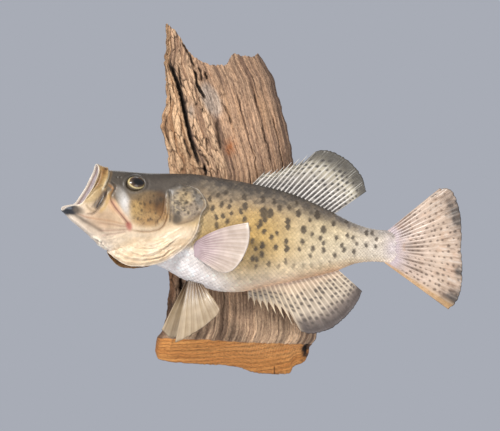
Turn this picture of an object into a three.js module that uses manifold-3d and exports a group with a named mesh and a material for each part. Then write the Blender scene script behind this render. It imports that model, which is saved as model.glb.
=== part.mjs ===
// A trophy crappie mounted on a split slab of weathered wood, made to hang on a wall.
// Millimetres. X runs from the jaws to the tail fin and Z is up. The wall is the plane Y = 0, so the
// mount lies at negative Y. The origin is on the slab's flat back, near the middle of the slab.
//
// The fish is laid out straight first: x along it, z up and `out` sideways from its middle plane, with
// positive `out` on the side away from the wall. bend() then curves it, head and tail off the wall.
import * as THREE from "three";
import { mergeVertices } from "three/addons/utils/BufferGeometryUtils.js";
import Module from "manifold-3d";

const wasm = await Module();
wasm.setup();
const { clamp, lerp } = THREE.MathUtils;

// ---- Driving dimensions ----
const SEAM = 0.35; // clear gap between touching pieces
const JAW_TIP = [-152.2, -9.8]; // foremost point of the lower jaw
const SNOUT = [-120.6, 32.9]; // top of the upper lip
const TAIL_ROOT = 142.2; // x where the tail fin starts
const LEAN = SNOUT[0] - JAW_TIP[0]; // how far the sections lean forward at the mouth
const LEAN_ENDS = 0.67; // share of the length where the sections stand upright
const LIP_WALL = 2.4; // thickness of the lips
const EYE = { x: -86.2, z: 13.8, wide: 8.4, high: 6.9, deep: 5.6, sunk: 3.3, tilt: 0.42 };
const FADE = 0.05; // share of the length in which the rim's hollow fades into the cheek
const HEAD_END = 0.31; // share of the length where the head meets the trunk
const TRUNK_END = 0.845; // and where the trunk meets the tail's stalk
const FIN_MEMBRANE = 0.8;
const FIN_RAY = 1.5;
const GILL_PLATE = 1.7;
const POCKET = { x: 2, z: 84, wide: 52, high: 14, deep: 3.2 }; // recess for the hanger

// ---- Outlines of the fish: [x, value], in millimetres ----
const back = curve([
  SNOUT, [-110.7, 28.4], [-100.8, 26.8], [-73.8, 24.6], [-37.8, 23.9], [-19.8, 21.6],
  [16.2, 15.3], [52.2, 6.3], [83.7, -7.2], [106.2, -18.9], [124.2, -25.2], [TAIL_ROOT, -27],
]);
const belly = curve([
  JAW_TIP, [-145.8, -16.2], [-127.8, -32.4], [-115.2, -44.1], [-91.8, -52.5], [-66.6, -59.5],
  [-41.4, -72.9], [-15.3, -81.9], [7.2, -83.1], [25.2, -79.2], [61.2, -72], [92.7, -64.4],
  [110.7, -57.6], [128.7, -55.8], [TAIL_ROOT, -57.6],
]);
// Half width against the share of the length from the mouth to the tail's root.
const halfWidth = curve([
  [0, 12.2], [0.05, 14], [0.12, 16.5], [0.2, 19.5], [0.3, 22.3], [0.42, 22.8],
  [0.55, 21.5], [0.7, 17.3], [0.8, 12.6], [0.9, 7.8], [1, 3.8],
]);
// How far the rim of the open mouth is hollowed, from the snout down to the jaw's tip: deepest at
// the corners of the upper lip, and standing forward at the lower lip.
const rimHollow = curve([
  [0, 0], [0.1, 3.3], [0.26, 5.7], [0.41, 7.3], [0.6, 7.9], [0.76, 7.6], [0.85, 3.4],
  [0.93, 0.2], [1, 0],
]);
// Below 1 the section is fuller than an ellipse, above 1 it is keener along the back and belly.
const keenness = curve([[0, 0.72], [0.12, 0.82], [0.3, 0.92], [0.5, 1.02], [1, 0.95]]);
// The middle plane's distance from the wall: the trunk lies on the slab, head and tail stand off.
const offWall = curve([
  [-156, -98], [-120, -85.3], [-90, -75.5], [-60, -67.5], [-20, -61.6], [20, -60.2],
  [80, -61.4], [110, -64], [140, -68.3], [175, -74.5], [208, -81.5],
]);

// A smooth function through knots [at, value]; beyond its ends it keeps their values.
function curve(knots) {
  const last = knots.length - 1;
  const slopes = knots.map((_, i) => {
    const before = knots[Math.max(i - 1, 0)];
    const after = knots[Math.min(i + 1, last)];
    return (after[1] - before[1]) / (after[0] - before[0]);
  });
  return (at) => {
    let i = 0;
    while (i < last - 1 && knots[i + 1][0] < at) i++;
    const span = knots[i + 1][0] - knots[i][0];
    const t = clamp((at - knots[i][0]) / span, 0, 1);
    const rise = (knots[i + 1][1] - knots[i][1]) * t * t * (3 - 2 * t);
    const ease = slopes[i] * t * (1 - t) * (1 - t) - slopes[i + 1] * t * t * (1 - t);
    return knots[i][1] + rise + ease * span;
  };
}

// The angle by which the fish's middle plane turns from the wall at x.
function heading(x) {
  const step = 2;
  return Math.atan((offWall(x + step) - offWall(x - step)) / (2 * step));
}

// From the straight fish to the curved one on its slab.
function bend(x, out, z) {
  const turn = heading(x);
  return new THREE.Vector3(x + out * Math.sin(turn), offWall(x) - out * Math.cos(turn), z);
}

// The straight x of a point that shows at x from the front, `out` from the middle plane.
const shown = (x, out) => x - out * Math.sin(heading(x));

// ---- From points to solids ----
function solidFrom(points, index) {
  const loose = new THREE.BufferGeometry().setFromPoints(points).setIndex(index);
  return solidOf(loose);
}

// A closed geometry as a solid, its faces turned outwards.
function solidOf(geometry) {
  const bare = new THREE.BufferGeometry().setIndex(geometry.index);
  bare.setAttribute("position", geometry.getAttribute("position"));
  const merged = mergeVertices(bare, 1e-4);
  const corners = [...merged.index.array];
  const made = (turned) => {
    const triVerts = [];
    for (let i = 0; i < corners.length; i += 3) {
      const [a, b, c] = corners.slice(i, i + 3);
      if (a !== b && b !== c && c !== a) triVerts.push(a, ...(turned ? [c, b] : [b, c]));
    }
    const vertProperties = merged.attributes.position.array;
    return new wasm.Manifold(
      new wasm.Mesh({ numProp: 3, vertProperties, triVerts: new Uint32Array(triVerts) }),
    );
  };
  const first = made(false);
  return first.volume() < 0 ? made(true) : first;
}

// Closed rings of points joined in turn, with a fan over each end.
function tube(rings) {
  const around = rings[0].length;
  const middle = (ring) => ring.reduce((sum, p) => sum.clone().add(p)).divideScalar(around);
  const points = [...rings.flat(), middle(rings[0]), middle(rings.at(-1))];
  const index = [];
  const lastRing = (rings.length - 1) * around;
  for (let k = 0; k < around; k++) {
    const next = (k + 1) % around;
    for (let r = 0; r < rings.length - 1; r++) {
      const [here, there] = [r * around, (r + 1) * around];
      index.push(here + k, here + next, there + next, here + k, there + next, there + k);
    }
    index.push(rings.length * around, next, k);
    index.push(rings.length * around + 1, lastRing + k, lastRing + next);
  }
  return solidFrom(points, index);
}

// Two grids of points of one size, a front and a back, joined round their borders.
function plate(front, rear) {
  const [rows, columns] = [front.length, front[0].length];
  const at = (side, i, j) => (side * rows + i) * columns + j;
  const index = [];
  const quad = (a, b, c, d) => index.push(a, b, c, a, c, d);
  const [r, c] = [rows - 1, columns - 1];
  for (let i = 0; i < r; i++) {
    for (let j = 0; j < c; j++) {
      quad(at(0, i, j), at(0, i, j + 1), at(0, i + 1, j + 1), at(0, i + 1, j));
      quad(at(1, i, j), at(1, i + 1, j), at(1, i + 1, j + 1), at(1, i, j + 1));
    }
    quad(at(0, i, 0), at(0, i + 1, 0), at(1, i + 1, 0), at(1, i, 0));
    quad(at(0, i, c), at(1, i, c), at(1, i + 1, c), at(0, i + 1, c));
  }
  for (let j = 0; j < c; j++) {
    quad(at(0, 0, j), at(1, 0, j), at(1, 0, j + 1), at(0, 0, j + 1));
    quad(at(0, r, j), at(0, r, j + 1), at(1, r, j + 1), at(1, r, j));
  }
  return solidFrom([...front.flat(), ...rear.flat()], index);
}

// A grid of points given half of thick(i, j) on each side of itself.
function thickened(grid, thick) {
  const [r, c] = [grid.length - 1, grid[0].length - 1];
  const normal = (i, j) => {
    const down = grid[Math.min(i + 1, r)][j].clone().sub(grid[Math.max(i - 1, 0)][j]);
    const over = grid[i][Math.min(j + 1, c)].clone().sub(grid[i][Math.max(j - 1, 0)]);
    return down.cross(over).normalize();
  };
  const side = (sign) =>
    grid.map((row, i) =>
      row.map((p, j) => p.clone().addScaledVector(normal(i, j), (sign * thick(i, j)) / 2)),
    );
  return plate(side(1), side(-1));
}

// ---- The body, as one run of leaning sections ----
function sectionAt(share) {
  const lean = LEAN * Math.pow(Math.max(0, 1 - share / LEAN_ENDS), 1.2);
  const topX = lerp(SNOUT[0], TAIL_ROOT, share);
  const lowX = topX - lean;
  return { top: [topX, back(topX)], low: [lowX, belly(lowX)], wide: halfWidth(share) };
}

// A point of the straight body: turn 0 is on the back and PI on the belly, by the side off the wall.
function fleshPoint(share, turn, grow = 0) {
  const { top, low, wide } = sectionAt(share);
  const down = (1 - Math.cos(turn)) / 2;
  const chord = Math.hypot(low[0] - top[0], low[1] - top[1]);
  const [alongX, alongZ] = [(low[0] - top[0]) / chord, (low[1] - top[1]) / chord];
  const hollow = rimHollow(down) * Math.exp(-share / FADE);
  const run = chord * down - grow * Math.cos(turn);
  const out = (wide + grow) * Math.pow(Math.abs(Math.sin(turn)), keenness(share));
  return {
    x: top[0] + alongX * run - alongZ * hollow,
    z: top[1] + alongZ * run + alongX * hollow,
    out: out * Math.sign(Math.sin(turn) + 1e-12),
  };
}

function fleshRing(share, grow = 0, around = 24) {
  const ring = [];
  for (let k = 0; k < around; k++) {
    const p = fleshPoint(share, (2 * Math.PI * k) / around, grow);
    ring.push(bend(p.x, p.out, p.z));
  }
  return ring;
}

// The body from one share of its length to another.
function flesh(from, to, count, grow = 0) {
  const rings = [];
  for (let i = 0; i <= count; i++) rings.push(fleshRing(lerp(from, to, i / count), grow));
  return tube(rings);
}

// How far the flank stands out from the middle plane at a point seen from the side.
function flankAt(x, z) {
  let [low, high] = [0, 1];
  for (let i = 0; i < 24; i++) {
    const share = (low + high) / 2;
    const s = sectionAt(share);
    const across = (s.low[0] - s.top[0]) * (z - s.top[1]) - (s.low[1] - s.top[1]) * (x - s.top[0]);
    if (across > 0) low = share;
    else high = share;
  }
  const s = sectionAt(low);
  const down = clamp((s.top[1] - z) / (s.top[1] - s.low[1]), 0.002, 0.998);
  return s.wide * Math.pow(2 * Math.sqrt(down * (1 - down)), keenness(low));
}

// ---- The head ----
// The open mouth: a funnel from in front of the lips to the throat.
function mouthCavity() {
  const wall = curve([[0, LIP_WALL], [0.05, 3.6], [0.12, 8.5], [0.16, 13.5]]);
  const rings = [fleshRing(0, -LIP_WALL).map((p) => p.add(new THREE.Vector3(-7, -2.5, 5.5)))];
  for (const share of [0, 0.025, 0.055, 0.09, 0.13]) {
    rings.push(fleshRing(share, -wall(share)));
  }
  return tube(rings);
}

// An outline with every side moved outwards by `grow`; it turns clockwise as seen.
function widened(outline, grow) {
  const count = outline.length;
  const side = (i) => {
    const [from, to] = [outline[i % count], outline[(i + 1) % count]];
    const run = new THREE.Vector2(to[0] - from[0], to[1] - from[1]).normalize();
    return new THREE.Vector2(-run.y, run.x);
  };
  return outline.map(([x, z], i) => {
    const [one, two] = [side(i + count - 1), side(i)];
    const corner = one.clone().add(two);
    corner.multiplyScalar(grow / (1 + one.dot(two)));
    return [x + corner.x, z + corner.y];
  });
}

// A block with an outline as seen from the side, grown by `grow` all round, between two depths.
function sideBlock(outline, grow = 0, from = -40, to = 40) {
  const ring = (out) => widened(outline, grow).map(([x, z]) => bend(x, out, z));
  return tube([ring(from), ring((from + to) / 2), ring(to)]);
}

// The borders of the jaws in side view. Both meet at the corner of the mouth's rim.
const UPPER_JAW_OUTLINE = [
  [-144, -1.5], [-166, 8], [-150, 46], [-112, 46], [-112.5, 28.5], [-113.6, 20.7],
  [-115.5, 10.8], [-118.2, 3.2], [-122.5, -4.5], [-126, -10], [-130.5, -11.7], [-136, -10],
  [-141, -7.6],
];
const LOWER_JAW_OUTLINE = [
  [-141, -7.6], [-136, -10], [-130.5, -11.7], [-115.3, -17.1], [-96.4, -25.2], [-98, -30],
  [-107, -42], [-110, -62], [-150, -62], [-170, -30], [-166, 7.5], [-144, -2],
];

// One eye: a flattened ball, most of it sunk in the socket.
function eye(side, grow = 0) {
  const ball = new THREE.SphereGeometry(1, 16, 8);
  ball.scale(EYE.wide + grow, EYE.deep + grow, EYE.high + grow);
  const p = ball.getAttribute("position");
  const flank = flankAt(EYE.x, EYE.z) - EYE.sunk;
  const x = shown(EYE.x, flank);
  for (let i = 0; i < p.count; i++) {
    const [dx, out, dz] = [p.getX(i), p.getY(i), p.getZ(i)];
    const [leanOut, leanUp] = [Math.cos(EYE.tilt), Math.sin(EYE.tilt)];
    const moved = bend(
      x + dx,
      side * (flank + out * leanOut - dz * leanUp),
      EYE.z + dz * leanOut + out * leanUp,
    );
    p.setXYZ(i, moved.x, moved.y, moved.z);
  }
  return solidOf(ball);
}

// A gill cover: a thin curved plate from its hinge line on the cheek to its free edge.
// Both lines are [x, z, out] from the nape to the chin, where they show from the front.
const GILL_HINGE = [
  [-48.6, 14.9, 19.2], [-53.6, 9, 20.6], [-54.5, -6.3, 22.2], [-54.9, -21.6, 22.4],
  [-66.6, -32.4, 20], [-82.8, -38.7, 16], [-97, -39.6, 10.5], [-107, -42, 3.5],
];
const GILL_EDGE = [
  [-44.1, 14, 20.2], [-34.2, 11.3, 21.4], [-28.4, 8.1, 22.6], [-21.6, -3.6, 24.6],
  [-26.1, -11.7, 25.6], [-28.5, -19.8, 26.4], [-31.5, -29.7, 26.4], [-37.8, -39.2, 25.2],
  [-54, -53.1, 21.5], [-69.3, -58.5, 18], [-82.8, -59.9, 15.4], [-93.6, -59.2, 12.4],
  [-103.4, -53.4, 7.6], [-111.5, -46.6, 2.2],
];
const GILL_DROOP = 3; // how much lower the wall side's membrane hangs

function gillCover(side) {
  const [along, across] = [17, 3];
  const line = (knots) =>
    new THREE.CatmullRomCurve3(knots.map(([x, z, out]) => new THREE.Vector3(x, out, z)));
  const [hinge, edge] = [line(GILL_HINGE), line(GILL_EDGE)];
  const grid = [];
  for (let i = 0; i <= along; i++) {
    const [from, to] = [hinge.getPointAt(i / along), edge.getPointAt(i / along)];
    grid.push([]);
    for (let j = 0; j <= across; j++) {
      const p = from.clone().lerp(to, j / across);
      const crown = 1.6 * Math.sin((Math.PI * j) / across);
      const droop = side < 0 ? GILL_DROOP * Math.sin((Math.PI * i) / along) * (j / across) : 0;
      const out = p.y + crown;
      grid[i].push(bend(shown(p.x, out), side * out, p.z - droop));
    }
  }
  return thickened(grid, (i, j) => (j === across ? 1 : GILL_PLATE));
}

// ---- The fins ----
// A fin is a fan of rays from a root line to a tip line, both given as [x, z, out]. The first
// `spines` rays are stiff and stand clear of the membrane, which is drawn in between them.
function fin({ root, tip, rays, spines = 0, notch = 0.12, side = 1, steps = 2, belly: sag = 0 }) {
  const line = (knots) =>
    new THREE.CatmullRomCurve3(
      knots.map(([x, z, out]) => new THREE.Vector3(x, out, z)), false, "centripetal",
    );
  const [roots, tips] = [line(root), line(tip)];
  const grid = [];
  const columns = 2 * (rays - 1);
  for (let i = 0; i <= columns; i++) {
    const [from, to] = [roots.getPointAt(i / columns), tips.getPointAt(i / columns)];
    const drawnIn = i % 2 && i < 2 * spines ? 1 - notch : 1;
    grid.push([]);
    for (let j = 0; j <= steps; j++) {
      const p = from.clone().lerp(to, (j / steps) * drawnIn);
      const out = p.y + sag * Math.sin((Math.PI * j) / steps);
      grid[i].push(bend(shown(p.x, out), side * out, p.z));
    }
  }
  const taper = (j) => 1 - 0.35 * (j / steps);
  return thickened(grid, (i, j) => (i % 2 ? FIN_MEMBRANE : FIN_RAY * taper(j)));
}

const DORSAL = {
  root: [[17, 13, 0], [50, 4.5, 0], [88.5, -12, 0]],
  tip: [
    [20.5, 22.4, 0], [31.5, 26.6, 0.6], [43, 28.6, 1], [56, 35.4, 1.2], [68.4, 40.8, 1.4],
    [81, 44.7, 1.2], [95, 41.2, 0.8], [107.5, 32.5, 0.2], [116.5, 21.5, -0.6], [120.6, 7.5, -1.2],
  ],
  rays: 20, spines: 6, notch: 0.18,
};
const ANAL = {
  root: [[13.5, -78, 0], [50, -71, 0], [93.5, -61, 0]],
  tip: [
    [14.8, -92, 0], [24.5, -97.4, 0.4], [33, -101, 0.8], [41.5, -104.2, 1], [50, -109.5, 1.2],
    [59, -116.5, 1.3], [68, -120, 1.3], [80, -118.8, 1], [92, -113.8, 0.6], [103, -104, 0.2],
    [111.5, -93.6, -0.4], [117, -82, -1],
  ],
  rays: 22, spines: 7, notch: 0.16,
};
const CAUDAL = {
  root: [[138, -29, 0], [141, -36, 0], [141.5, -44, 0], [141, -51, 0], [137, -56.6, 0]],
  tip: [
    [186, 10.4, 1], [195.5, 9, 1], [201, -0.5, 0.4], [204.6, -15, 0], [205.4, -30, -0.6],
    [205, -45, -0.6], [205.8, -59, 0], [205.2, -77, 0.6], [201.5, -90, 1], [193.5, -98, 1.2],
  ],
  rays: 20,
};
const PECTORAL = {
  root: [[-34.9, -39.4, 20.2], [-34, -44.5, 20.8], [-33.4, -50.4, 19.6]],
  tip: [
    [14.6, -20.1, 42], [15.6, -31, 43], [13.6, -42.5, 43], [8.5, -53, 42], [2, -61.5, 40],
    [-6, -65, 36.5], [-15, -63, 32],
  ],
  rays: 12, belly: 2,
};
const FOLDED_PECTORAL = {
  root: [[-33.9, -39.4, 17], [-33, -44.5, 17], [-32.4, -50.4, 16]],
  tip: [
    [12, -34, 24.4], [13.6, -42.5, 24.2], [8.5, -50, 23], [0, -56.5, 21.4], [-12, -58.5, 20],
  ],
  rays: 10, belly: 3.5,
};
const PELVIC = {
  root: [[-39.5, -72.2, 5], [-33, -74.2, 7], [-26, -76.4, 8]],
  tip: [
    [-51, -127.6, 13], [-42, -123.6, 16], [-31.5, -117.4, 18.5], [-22, -110.6, 20], [-11.4, -99.6, 20.5],
    [-14.5, -91.6, 18],
  ],
  rays: 8, belly: 1.5,
};
const WALL_SIDE_PELVIC = {
  ...PELVIC,
  tip: [
    [-54, -121.6, 12], [-45, -124, 14], [-34.5, -119.4, 15.5], [-25, -112.6, 16], [-18, -103, 16],
    [-18.5, -92, 14],
  ],
};

// ---- The slab of wood ----
const slabLeft = curve([
  [-138, -71.5], [-126, -68.4], [-117, -63.9], [-90, -58.5], [0, -58], [36, -58.4], [54, -62.5],
  [72, -65], [90, -60.3], [104, -61.2], [124, -62.6], [138, -60.5], [160, -62.2],
]);
const slabRight = curve([
  [-134, 70], [-126, 76], [-118, 77.4], [-60, 68], [0, 60.5], [34, 56], [45, 54.5], [72, 48.6],
  [98, 41], [109, 38.6], [120, 32.5], [131, 26.8],
]);
const slabTop = curve([
  [-62, 159.5], [-60, 161.8], [-56.6, 159], [-48.9, 150], [-44, 140.4], [-36, 131.8],
  [-29, 127.6], [-24, 124.4], [-12, 123.2], [-7, 124.6], [-3, 129.2], [2, 133.6], [11, 131.8],
  [20, 131.2], [23.4, 134], [26.8, 130],
]);
const SLAB_FOOT = -127.5; // lower edge of the weathered face, where the slanting saw cut starts
const slabCut = curve([
  [-71.5, -138], [-68.4, -145.4], [-39.6, -149.8], [-13.5, -151.2], [4.5, -153.9], [13, -157],
  [26, -159], [52, -158.4], [55, -152.7], [65.3, -148.3], [70, -141],
]);
const slabDepth = curve([
  [0, 15], [0.06, 24], [0.2, 31.5], [0.36, 36.5], [0.55, 38.6], [0.75, 36.4], [0.92, 28], [1, 17],
]);
// Cracks along the grain; a lane is a line of the grain, 0 on the left edge and 1 on the right.
const SPLIT_LANE = 0.2;
const CRACKS = [
  { lane: SPLIT_LANE, from: 20, to: 128, wide: 0.02, deep: 11 },
  { lane: 0.39, from: 38, to: 126, wide: 0.018, deep: 6 },
  { lane: 0.53, from: 66, to: 90, wide: 0.012, deep: 4 },
];
// The share of the slab's width at which the long split runs at each height.
const split = curve([[25, 0.3], [50, 0.25], [72, 0.22], [94, 0.15], [112, 0.1], [126, 0.062]]);
const HOLLOW = { lane: 0.46, z: 92, wide: 0.06, high: 17, deep: 4 }; // where a flake came away

const bell = (distance, width) => Math.exp(-((distance / width) ** 2));

// The share of the slab's width at which a line of the grain runs at a height.
function grainAt(lane, z) {
  const beside = split(z);
  if (lane < SPLIT_LANE) return (lane / SPLIT_LANE) * beside;
  return lerp(beside, 1, (lane - SPLIT_LANE) / (1 - SPLIT_LANE));
}

function slabThickness(lane, z) {
  const crest = 1 - 0.24 * clamp((z - 60) / 90, 0, 1);
  const flutes = 0.9 * Math.sin(lane * 38) + 0.5 * Math.sin(lane * 67 + z * 0.03);
  const flake = HOLLOW.deep * bell(lane - HOLLOW.lane, HOLLOW.wide) * bell(z - HOLLOW.z, HOLLOW.high);
  let depth = slabDepth(grainAt(lane, z)) * crest + flutes * Math.sin(Math.PI * lane) - flake;
  for (const { lane: at, from, to, wide, deep } of CRACKS) {
    const inside = clamp((z - from) / 10, 0, 1) * clamp((to - z) / 10, 0, 1);
    depth -= deep * inside * bell(lane - at, wide);
  }
  return depth;
}

function slab() {
  const rows = 21;
  const lanes = CRACKS.flatMap(({ lane, wide }) => [lane - 1.6 * wide, lane, lane + 1.6 * wide]);
  const clear = (lane) => CRACKS.every((crack) => Math.abs(crack.lane - lane) > 2.4 * crack.wide);
  for (let i = 0; i <= 19; i++) {
    if (clear(i / 19)) lanes.push(i / 19);
  }
  const [front, rear] = [[], []];
  for (const lane of lanes.sort((a, b) => a - b)) {
    const crown = slabTop(lerp(-62, 27, grainAt(lane, 130)));
    const foot = slabCut(lerp(-71.5, 70, grainAt(lane, SLAB_FOOT)));
    const column = [];
    const behind = [];
    for (let j = 0; j <= rows; j++) {
      const z = lerp(SLAB_FOOT, crown, j / rows);
      const across = grainAt(lane, z);
      const x = lerp(slabLeft(z), slabRight(z), across);
      column.push(new THREE.Vector3(x, -slabThickness(lane, z), z));
      const backZ = lerp(foot - 3, crown - 1.5, j / rows);
      behind.push(new THREE.Vector3(x + lerp(1.5, -1.5, across), 4, backZ));
    }
    front.push(column);
    rear.push(behind);
  }
  const wall = new THREE.BoxGeometry(400, 20, 500).translate(0, 10, 0);
  return plate(front, rear).subtract(solidOf(wall));
}

// ---- What the mount hangs by: a toothed hanger in a recess of the slab's back ----
const HANGER = { wide: 42, high: 8, thick: 1, teeth: 9, deep: 1.6 };

function hangerPocket() {
  const { x, z, wide, high, deep } = POCKET;
  return solidOf(new THREE.BoxGeometry(wide, 2 * deep, high).translate(x, 0, z));
}

function hangerPlate() {
  const { wide, high, thick, teeth, deep } = HANGER;
  const outline = new THREE.Shape();
  outline.moveTo(-wide / 2, high / 2).lineTo(-wide / 2, -high / 2);
  const toothed = wide * 0.6;
  for (let i = 0; i <= 2 * teeth; i++) {
    outline.lineTo(-toothed / 2 + (toothed * i) / (2 * teeth), -high / 2 + (i % 2 ? 1.6 : 0));
  }
  outline.lineTo(wide / 2, -high / 2).lineTo(wide / 2, high / 2).closePath();
  const plateShape = new THREE.ExtrudeGeometry(outline, { depth: thick, bevelEnabled: false });
  plateShape.rotateX(Math.PI / 2).translate(POCKET.x, -deep, POCKET.z);
  return solidOf(plateShape);
}

function hangerNail(end, grow = 0) {
  const x = POCKET.x + end * (HANGER.wide / 2 - 5);
  const head = new THREE.CylinderGeometry(2.2 + grow, 2.2 + grow, 0.8 + 2 * grow, 12);
  const shank = new THREE.CylinderGeometry(0.8 + grow, 0.8 + grow, 9, 8);
  head.translate(x, -HANGER.deep + 0.5, POCKET.z);
  shank.translate(x, -HANGER.deep - 3.6, POCKET.z);
  return solidOf(head).add(solidOf(shank));
}

// ---- Materials ----
const finish = (color, roughness, metalness = 0) =>
  new THREE.MeshStandardMaterial({ color, roughness, metalness });
const FINISHES = {
  scales: finish(0xc9b98a, 0.42),
  head: finish(0xc7b28c, 0.4),
  lips: finish(0xb99f6f, 0.45),
  jaw: finish(0xcdb9a0, 0.42),
  fin: finish(0xb8b09c, 0.5),
  clearFin: finish(0xd6cdbd, 0.5),
  eye: finish(0x1d1a14, 0.08),
  wood: finish(0x9a7d62, 0.9),
  steel: finish(0x9d9a92, 0.4, 0.9),
};

// ---- Assembly: each piece is cut back from the pieces that it meets ----
const model = new THREE.Group();

function show(name, material, piece) {
  const { numProp, numVert, triVerts, vertProperties } = piece.getMesh();
  const points = [];
  for (let i = 0; i < numVert; i++) {
    points.push(new THREE.Vector3().fromArray(vertProperties, i * numProp));
  }
  const geometry = new THREE.BufferGeometry().setFromPoints(points);
  geometry.setIndex([...triVerts]);
  const mesh = new THREE.Mesh(geometry, FINISHES[material]);
  mesh.name = name;
  model.add(mesh);
}

const SIDES = [["left", 1], ["right", -1]];
const wholeFlesh = flesh(0, 1, 28, SEAM);
const sockets = eye(1, SEAM).add(eye(-1, SEAM));

const headFlesh = flesh(0, HEAD_END, 11).subtract(mouthCavity()).subtract(sockets);
const upperJaw = sideBlock(UPPER_JAW_OUTLINE);
const lowerJaw = sideBlock(LOWER_JAW_OUTLINE);
const roomForUpperJaw = sideBlock(UPPER_JAW_OUTLINE, SEAM);
const roomForLowerJaw = sideBlock(LOWER_JAW_OUTLINE, SEAM);
show("upper_jaw", "lips", headFlesh.intersect(upperJaw));
show("lower_jaw", "jaw", headFlesh.intersect(lowerJaw).subtract(roomForUpperJaw));
show("head", "head", headFlesh.subtract(roomForUpperJaw).subtract(roomForLowerJaw));
show("trunk", "scales", flesh(HEAD_END + 0.0014, TRUNK_END, 12));
show("tail", "scales", flesh(TRUNK_END + 0.0014, 1, 4));

const gillCovers = {};
for (const [name, side] of SIDES) {
  show(`eye_${name}`, "eye", eye(side));
  gillCovers[name] = gillCover(side).subtract(wholeFlesh);
  show(`gill_cover_${name}`, "head", gillCovers[name]);
}

show("dorsal_fin", "fin", fin(DORSAL).subtract(wholeFlesh));
show("anal_fin", "fin", fin(ANAL).subtract(wholeFlesh));
show("tail_fin", "fin", fin(CAUDAL).subtract(wholeFlesh));
show("pectoral_fin_left", "clearFin", fin(PECTORAL).subtract(wholeFlesh));
const foldedFin = fin({ ...FOLDED_PECTORAL, side: -1 }).subtract(wholeFlesh);
show("pectoral_fin_right", "clearFin", foldedFin);
show("pelvic_fin_left", "clearFin", fin(PELVIC).subtract(wholeFlesh));
show("pelvic_fin_right", "clearFin", fin({ ...WALL_SIDE_PELVIC, side: -1 }).subtract(wholeFlesh));

const nails = [-1, 1].map((end) => hangerNail(end));
const nailHoles = hangerNail(-1, SEAM).add(hangerNail(1, SEAM));
const finOutline = [...FOLDED_PECTORAL.tip, ...[...FOLDED_PECTORAL.root].reverse()];
const bed = flesh(0.3, 0.8, 12, SEAM).add(sideBlock(finOutline, 1.5, -26.5, -10));
show("slab", "wood", slab().subtract(bed).subtract(hangerPocket()).subtract(nailHoles));
show("hanger", "steel", hangerPlate().subtract(nailHoles));
nails.forEach((nail, i) => show(`hanger_nail_${i + 1}`, "steel", nail));

export default model;
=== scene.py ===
import logging
import math
from collections.abc import Callable
from dataclasses import dataclass
from enum import Enum

import bmesh
import bpy
import numpy as np
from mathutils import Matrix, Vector


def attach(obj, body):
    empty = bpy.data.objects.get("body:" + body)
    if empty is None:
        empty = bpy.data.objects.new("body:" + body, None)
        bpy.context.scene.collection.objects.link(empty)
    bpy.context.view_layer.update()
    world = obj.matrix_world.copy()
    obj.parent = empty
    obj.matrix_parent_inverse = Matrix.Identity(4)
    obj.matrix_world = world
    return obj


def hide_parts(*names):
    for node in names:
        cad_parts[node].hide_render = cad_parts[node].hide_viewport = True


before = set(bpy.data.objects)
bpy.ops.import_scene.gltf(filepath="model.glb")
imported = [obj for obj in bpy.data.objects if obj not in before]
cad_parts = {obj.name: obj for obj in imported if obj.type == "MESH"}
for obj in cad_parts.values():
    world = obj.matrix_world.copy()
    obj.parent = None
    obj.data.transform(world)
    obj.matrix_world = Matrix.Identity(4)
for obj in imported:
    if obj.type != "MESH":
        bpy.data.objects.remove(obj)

LOG = logging.getLogger("fish_mount")
MM = 0.001
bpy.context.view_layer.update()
Array = np.ndarray
BMesh = bmesh.types.BMesh
Pair = tuple[float, float]
Triple = tuple[float, float, float]


# ---- numbers and colours


def tint(code: str) -> Array:
    """Turn a screen colour into a linear one.

    Args:
        code: The colour as six hexadecimal digits.

    Returns:
        Red, green and blue between 0 and 1.
    """
    values = np.array([int(code[i : i + 2], 16) / 255 for i in (0, 2, 4)])
    return np.where(values <= 0.04045, values / 12.92, ((values + 0.055) / 1.055) ** 2.4)


def ease(low: float, high: float, at: Array) -> Array:
    """Rise smoothly from 0 at low to 1 at high."""
    t = unit((np.asarray(at, float) - low) / (high - low))
    return t * t * (3 - 2 * t)


def fall(low: float, high: float, at: Array) -> Array:
    """Fall smoothly from 1 at low to 0 at high."""
    return 1 - ease(low, high, at)


def unit(values: Array) -> Array:
    """Keep values between 0 and 1."""
    return np.clip(values, 0, 1)


def bell(distance: Array, width: float) -> Array:
    """Fall from 1 at no distance to nearly 0 at twice the width."""
    return np.exp(-((np.asarray(distance, float) / width) ** 2))


def blend(one: Array | str, two: Array | str, share: Array) -> Array:
    """Mix two colours.

    Args:
        one: A colour, or one for each point; a colour may be given by its code.
        two: The other.
        share: How much of the second there is at each point.

    Returns:
        The mixed colours.
    """
    one, two = (tint(colour) if isinstance(colour, str) else colour for colour in (one, two))
    share = unit(np.asarray(share, float))[..., None]
    return one * (1 - share) + two * share


def coated(ground: Array, *coats: tuple[Array | str, Array]) -> Array:
    """Lay coats of colour one over another.

    Args:
        ground: The colours under them.
        coats: A colour and its cover at each point, for each coat.

    Returns:
        The colours on top.
    """
    for colour, cover in coats:
        ground = blend(ground, colour, cover)
    return ground


@dataclass(frozen=True)
class Curve:
    """A smooth function through knots (at, value); beyond its ends it keeps their values."""

    knots: tuple[Pair, ...]

    def __call__(self, at: Array) -> Array:
        """Read the curve.

        Args:
            at: Where to read it, as a number or an array.

        Returns:
            The values there.
        """
        x = np.asarray(at, float)
        xs, ys = np.array(self.knots, float).T
        after = np.append(np.arange(1, len(xs)), len(xs) - 1)
        before = np.insert(np.arange(len(xs) - 1), 0, 0)
        slopes = (ys[after] - ys[before]) / (xs[after] - xs[before])
        i = np.clip(np.searchsorted(xs, x) - 1, 0, len(xs) - 2)
        span = xs[i + 1] - xs[i]
        t = unit((x - xs[i]) / span)
        rise = (ys[i + 1] - ys[i]) * t * t * (3 - 2 * t)
        lean = slopes[i] * t * (1 - t) ** 2 - slopes[i + 1] * t * t * (1 - t)
        return ys[i] + rise + lean * span


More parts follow.
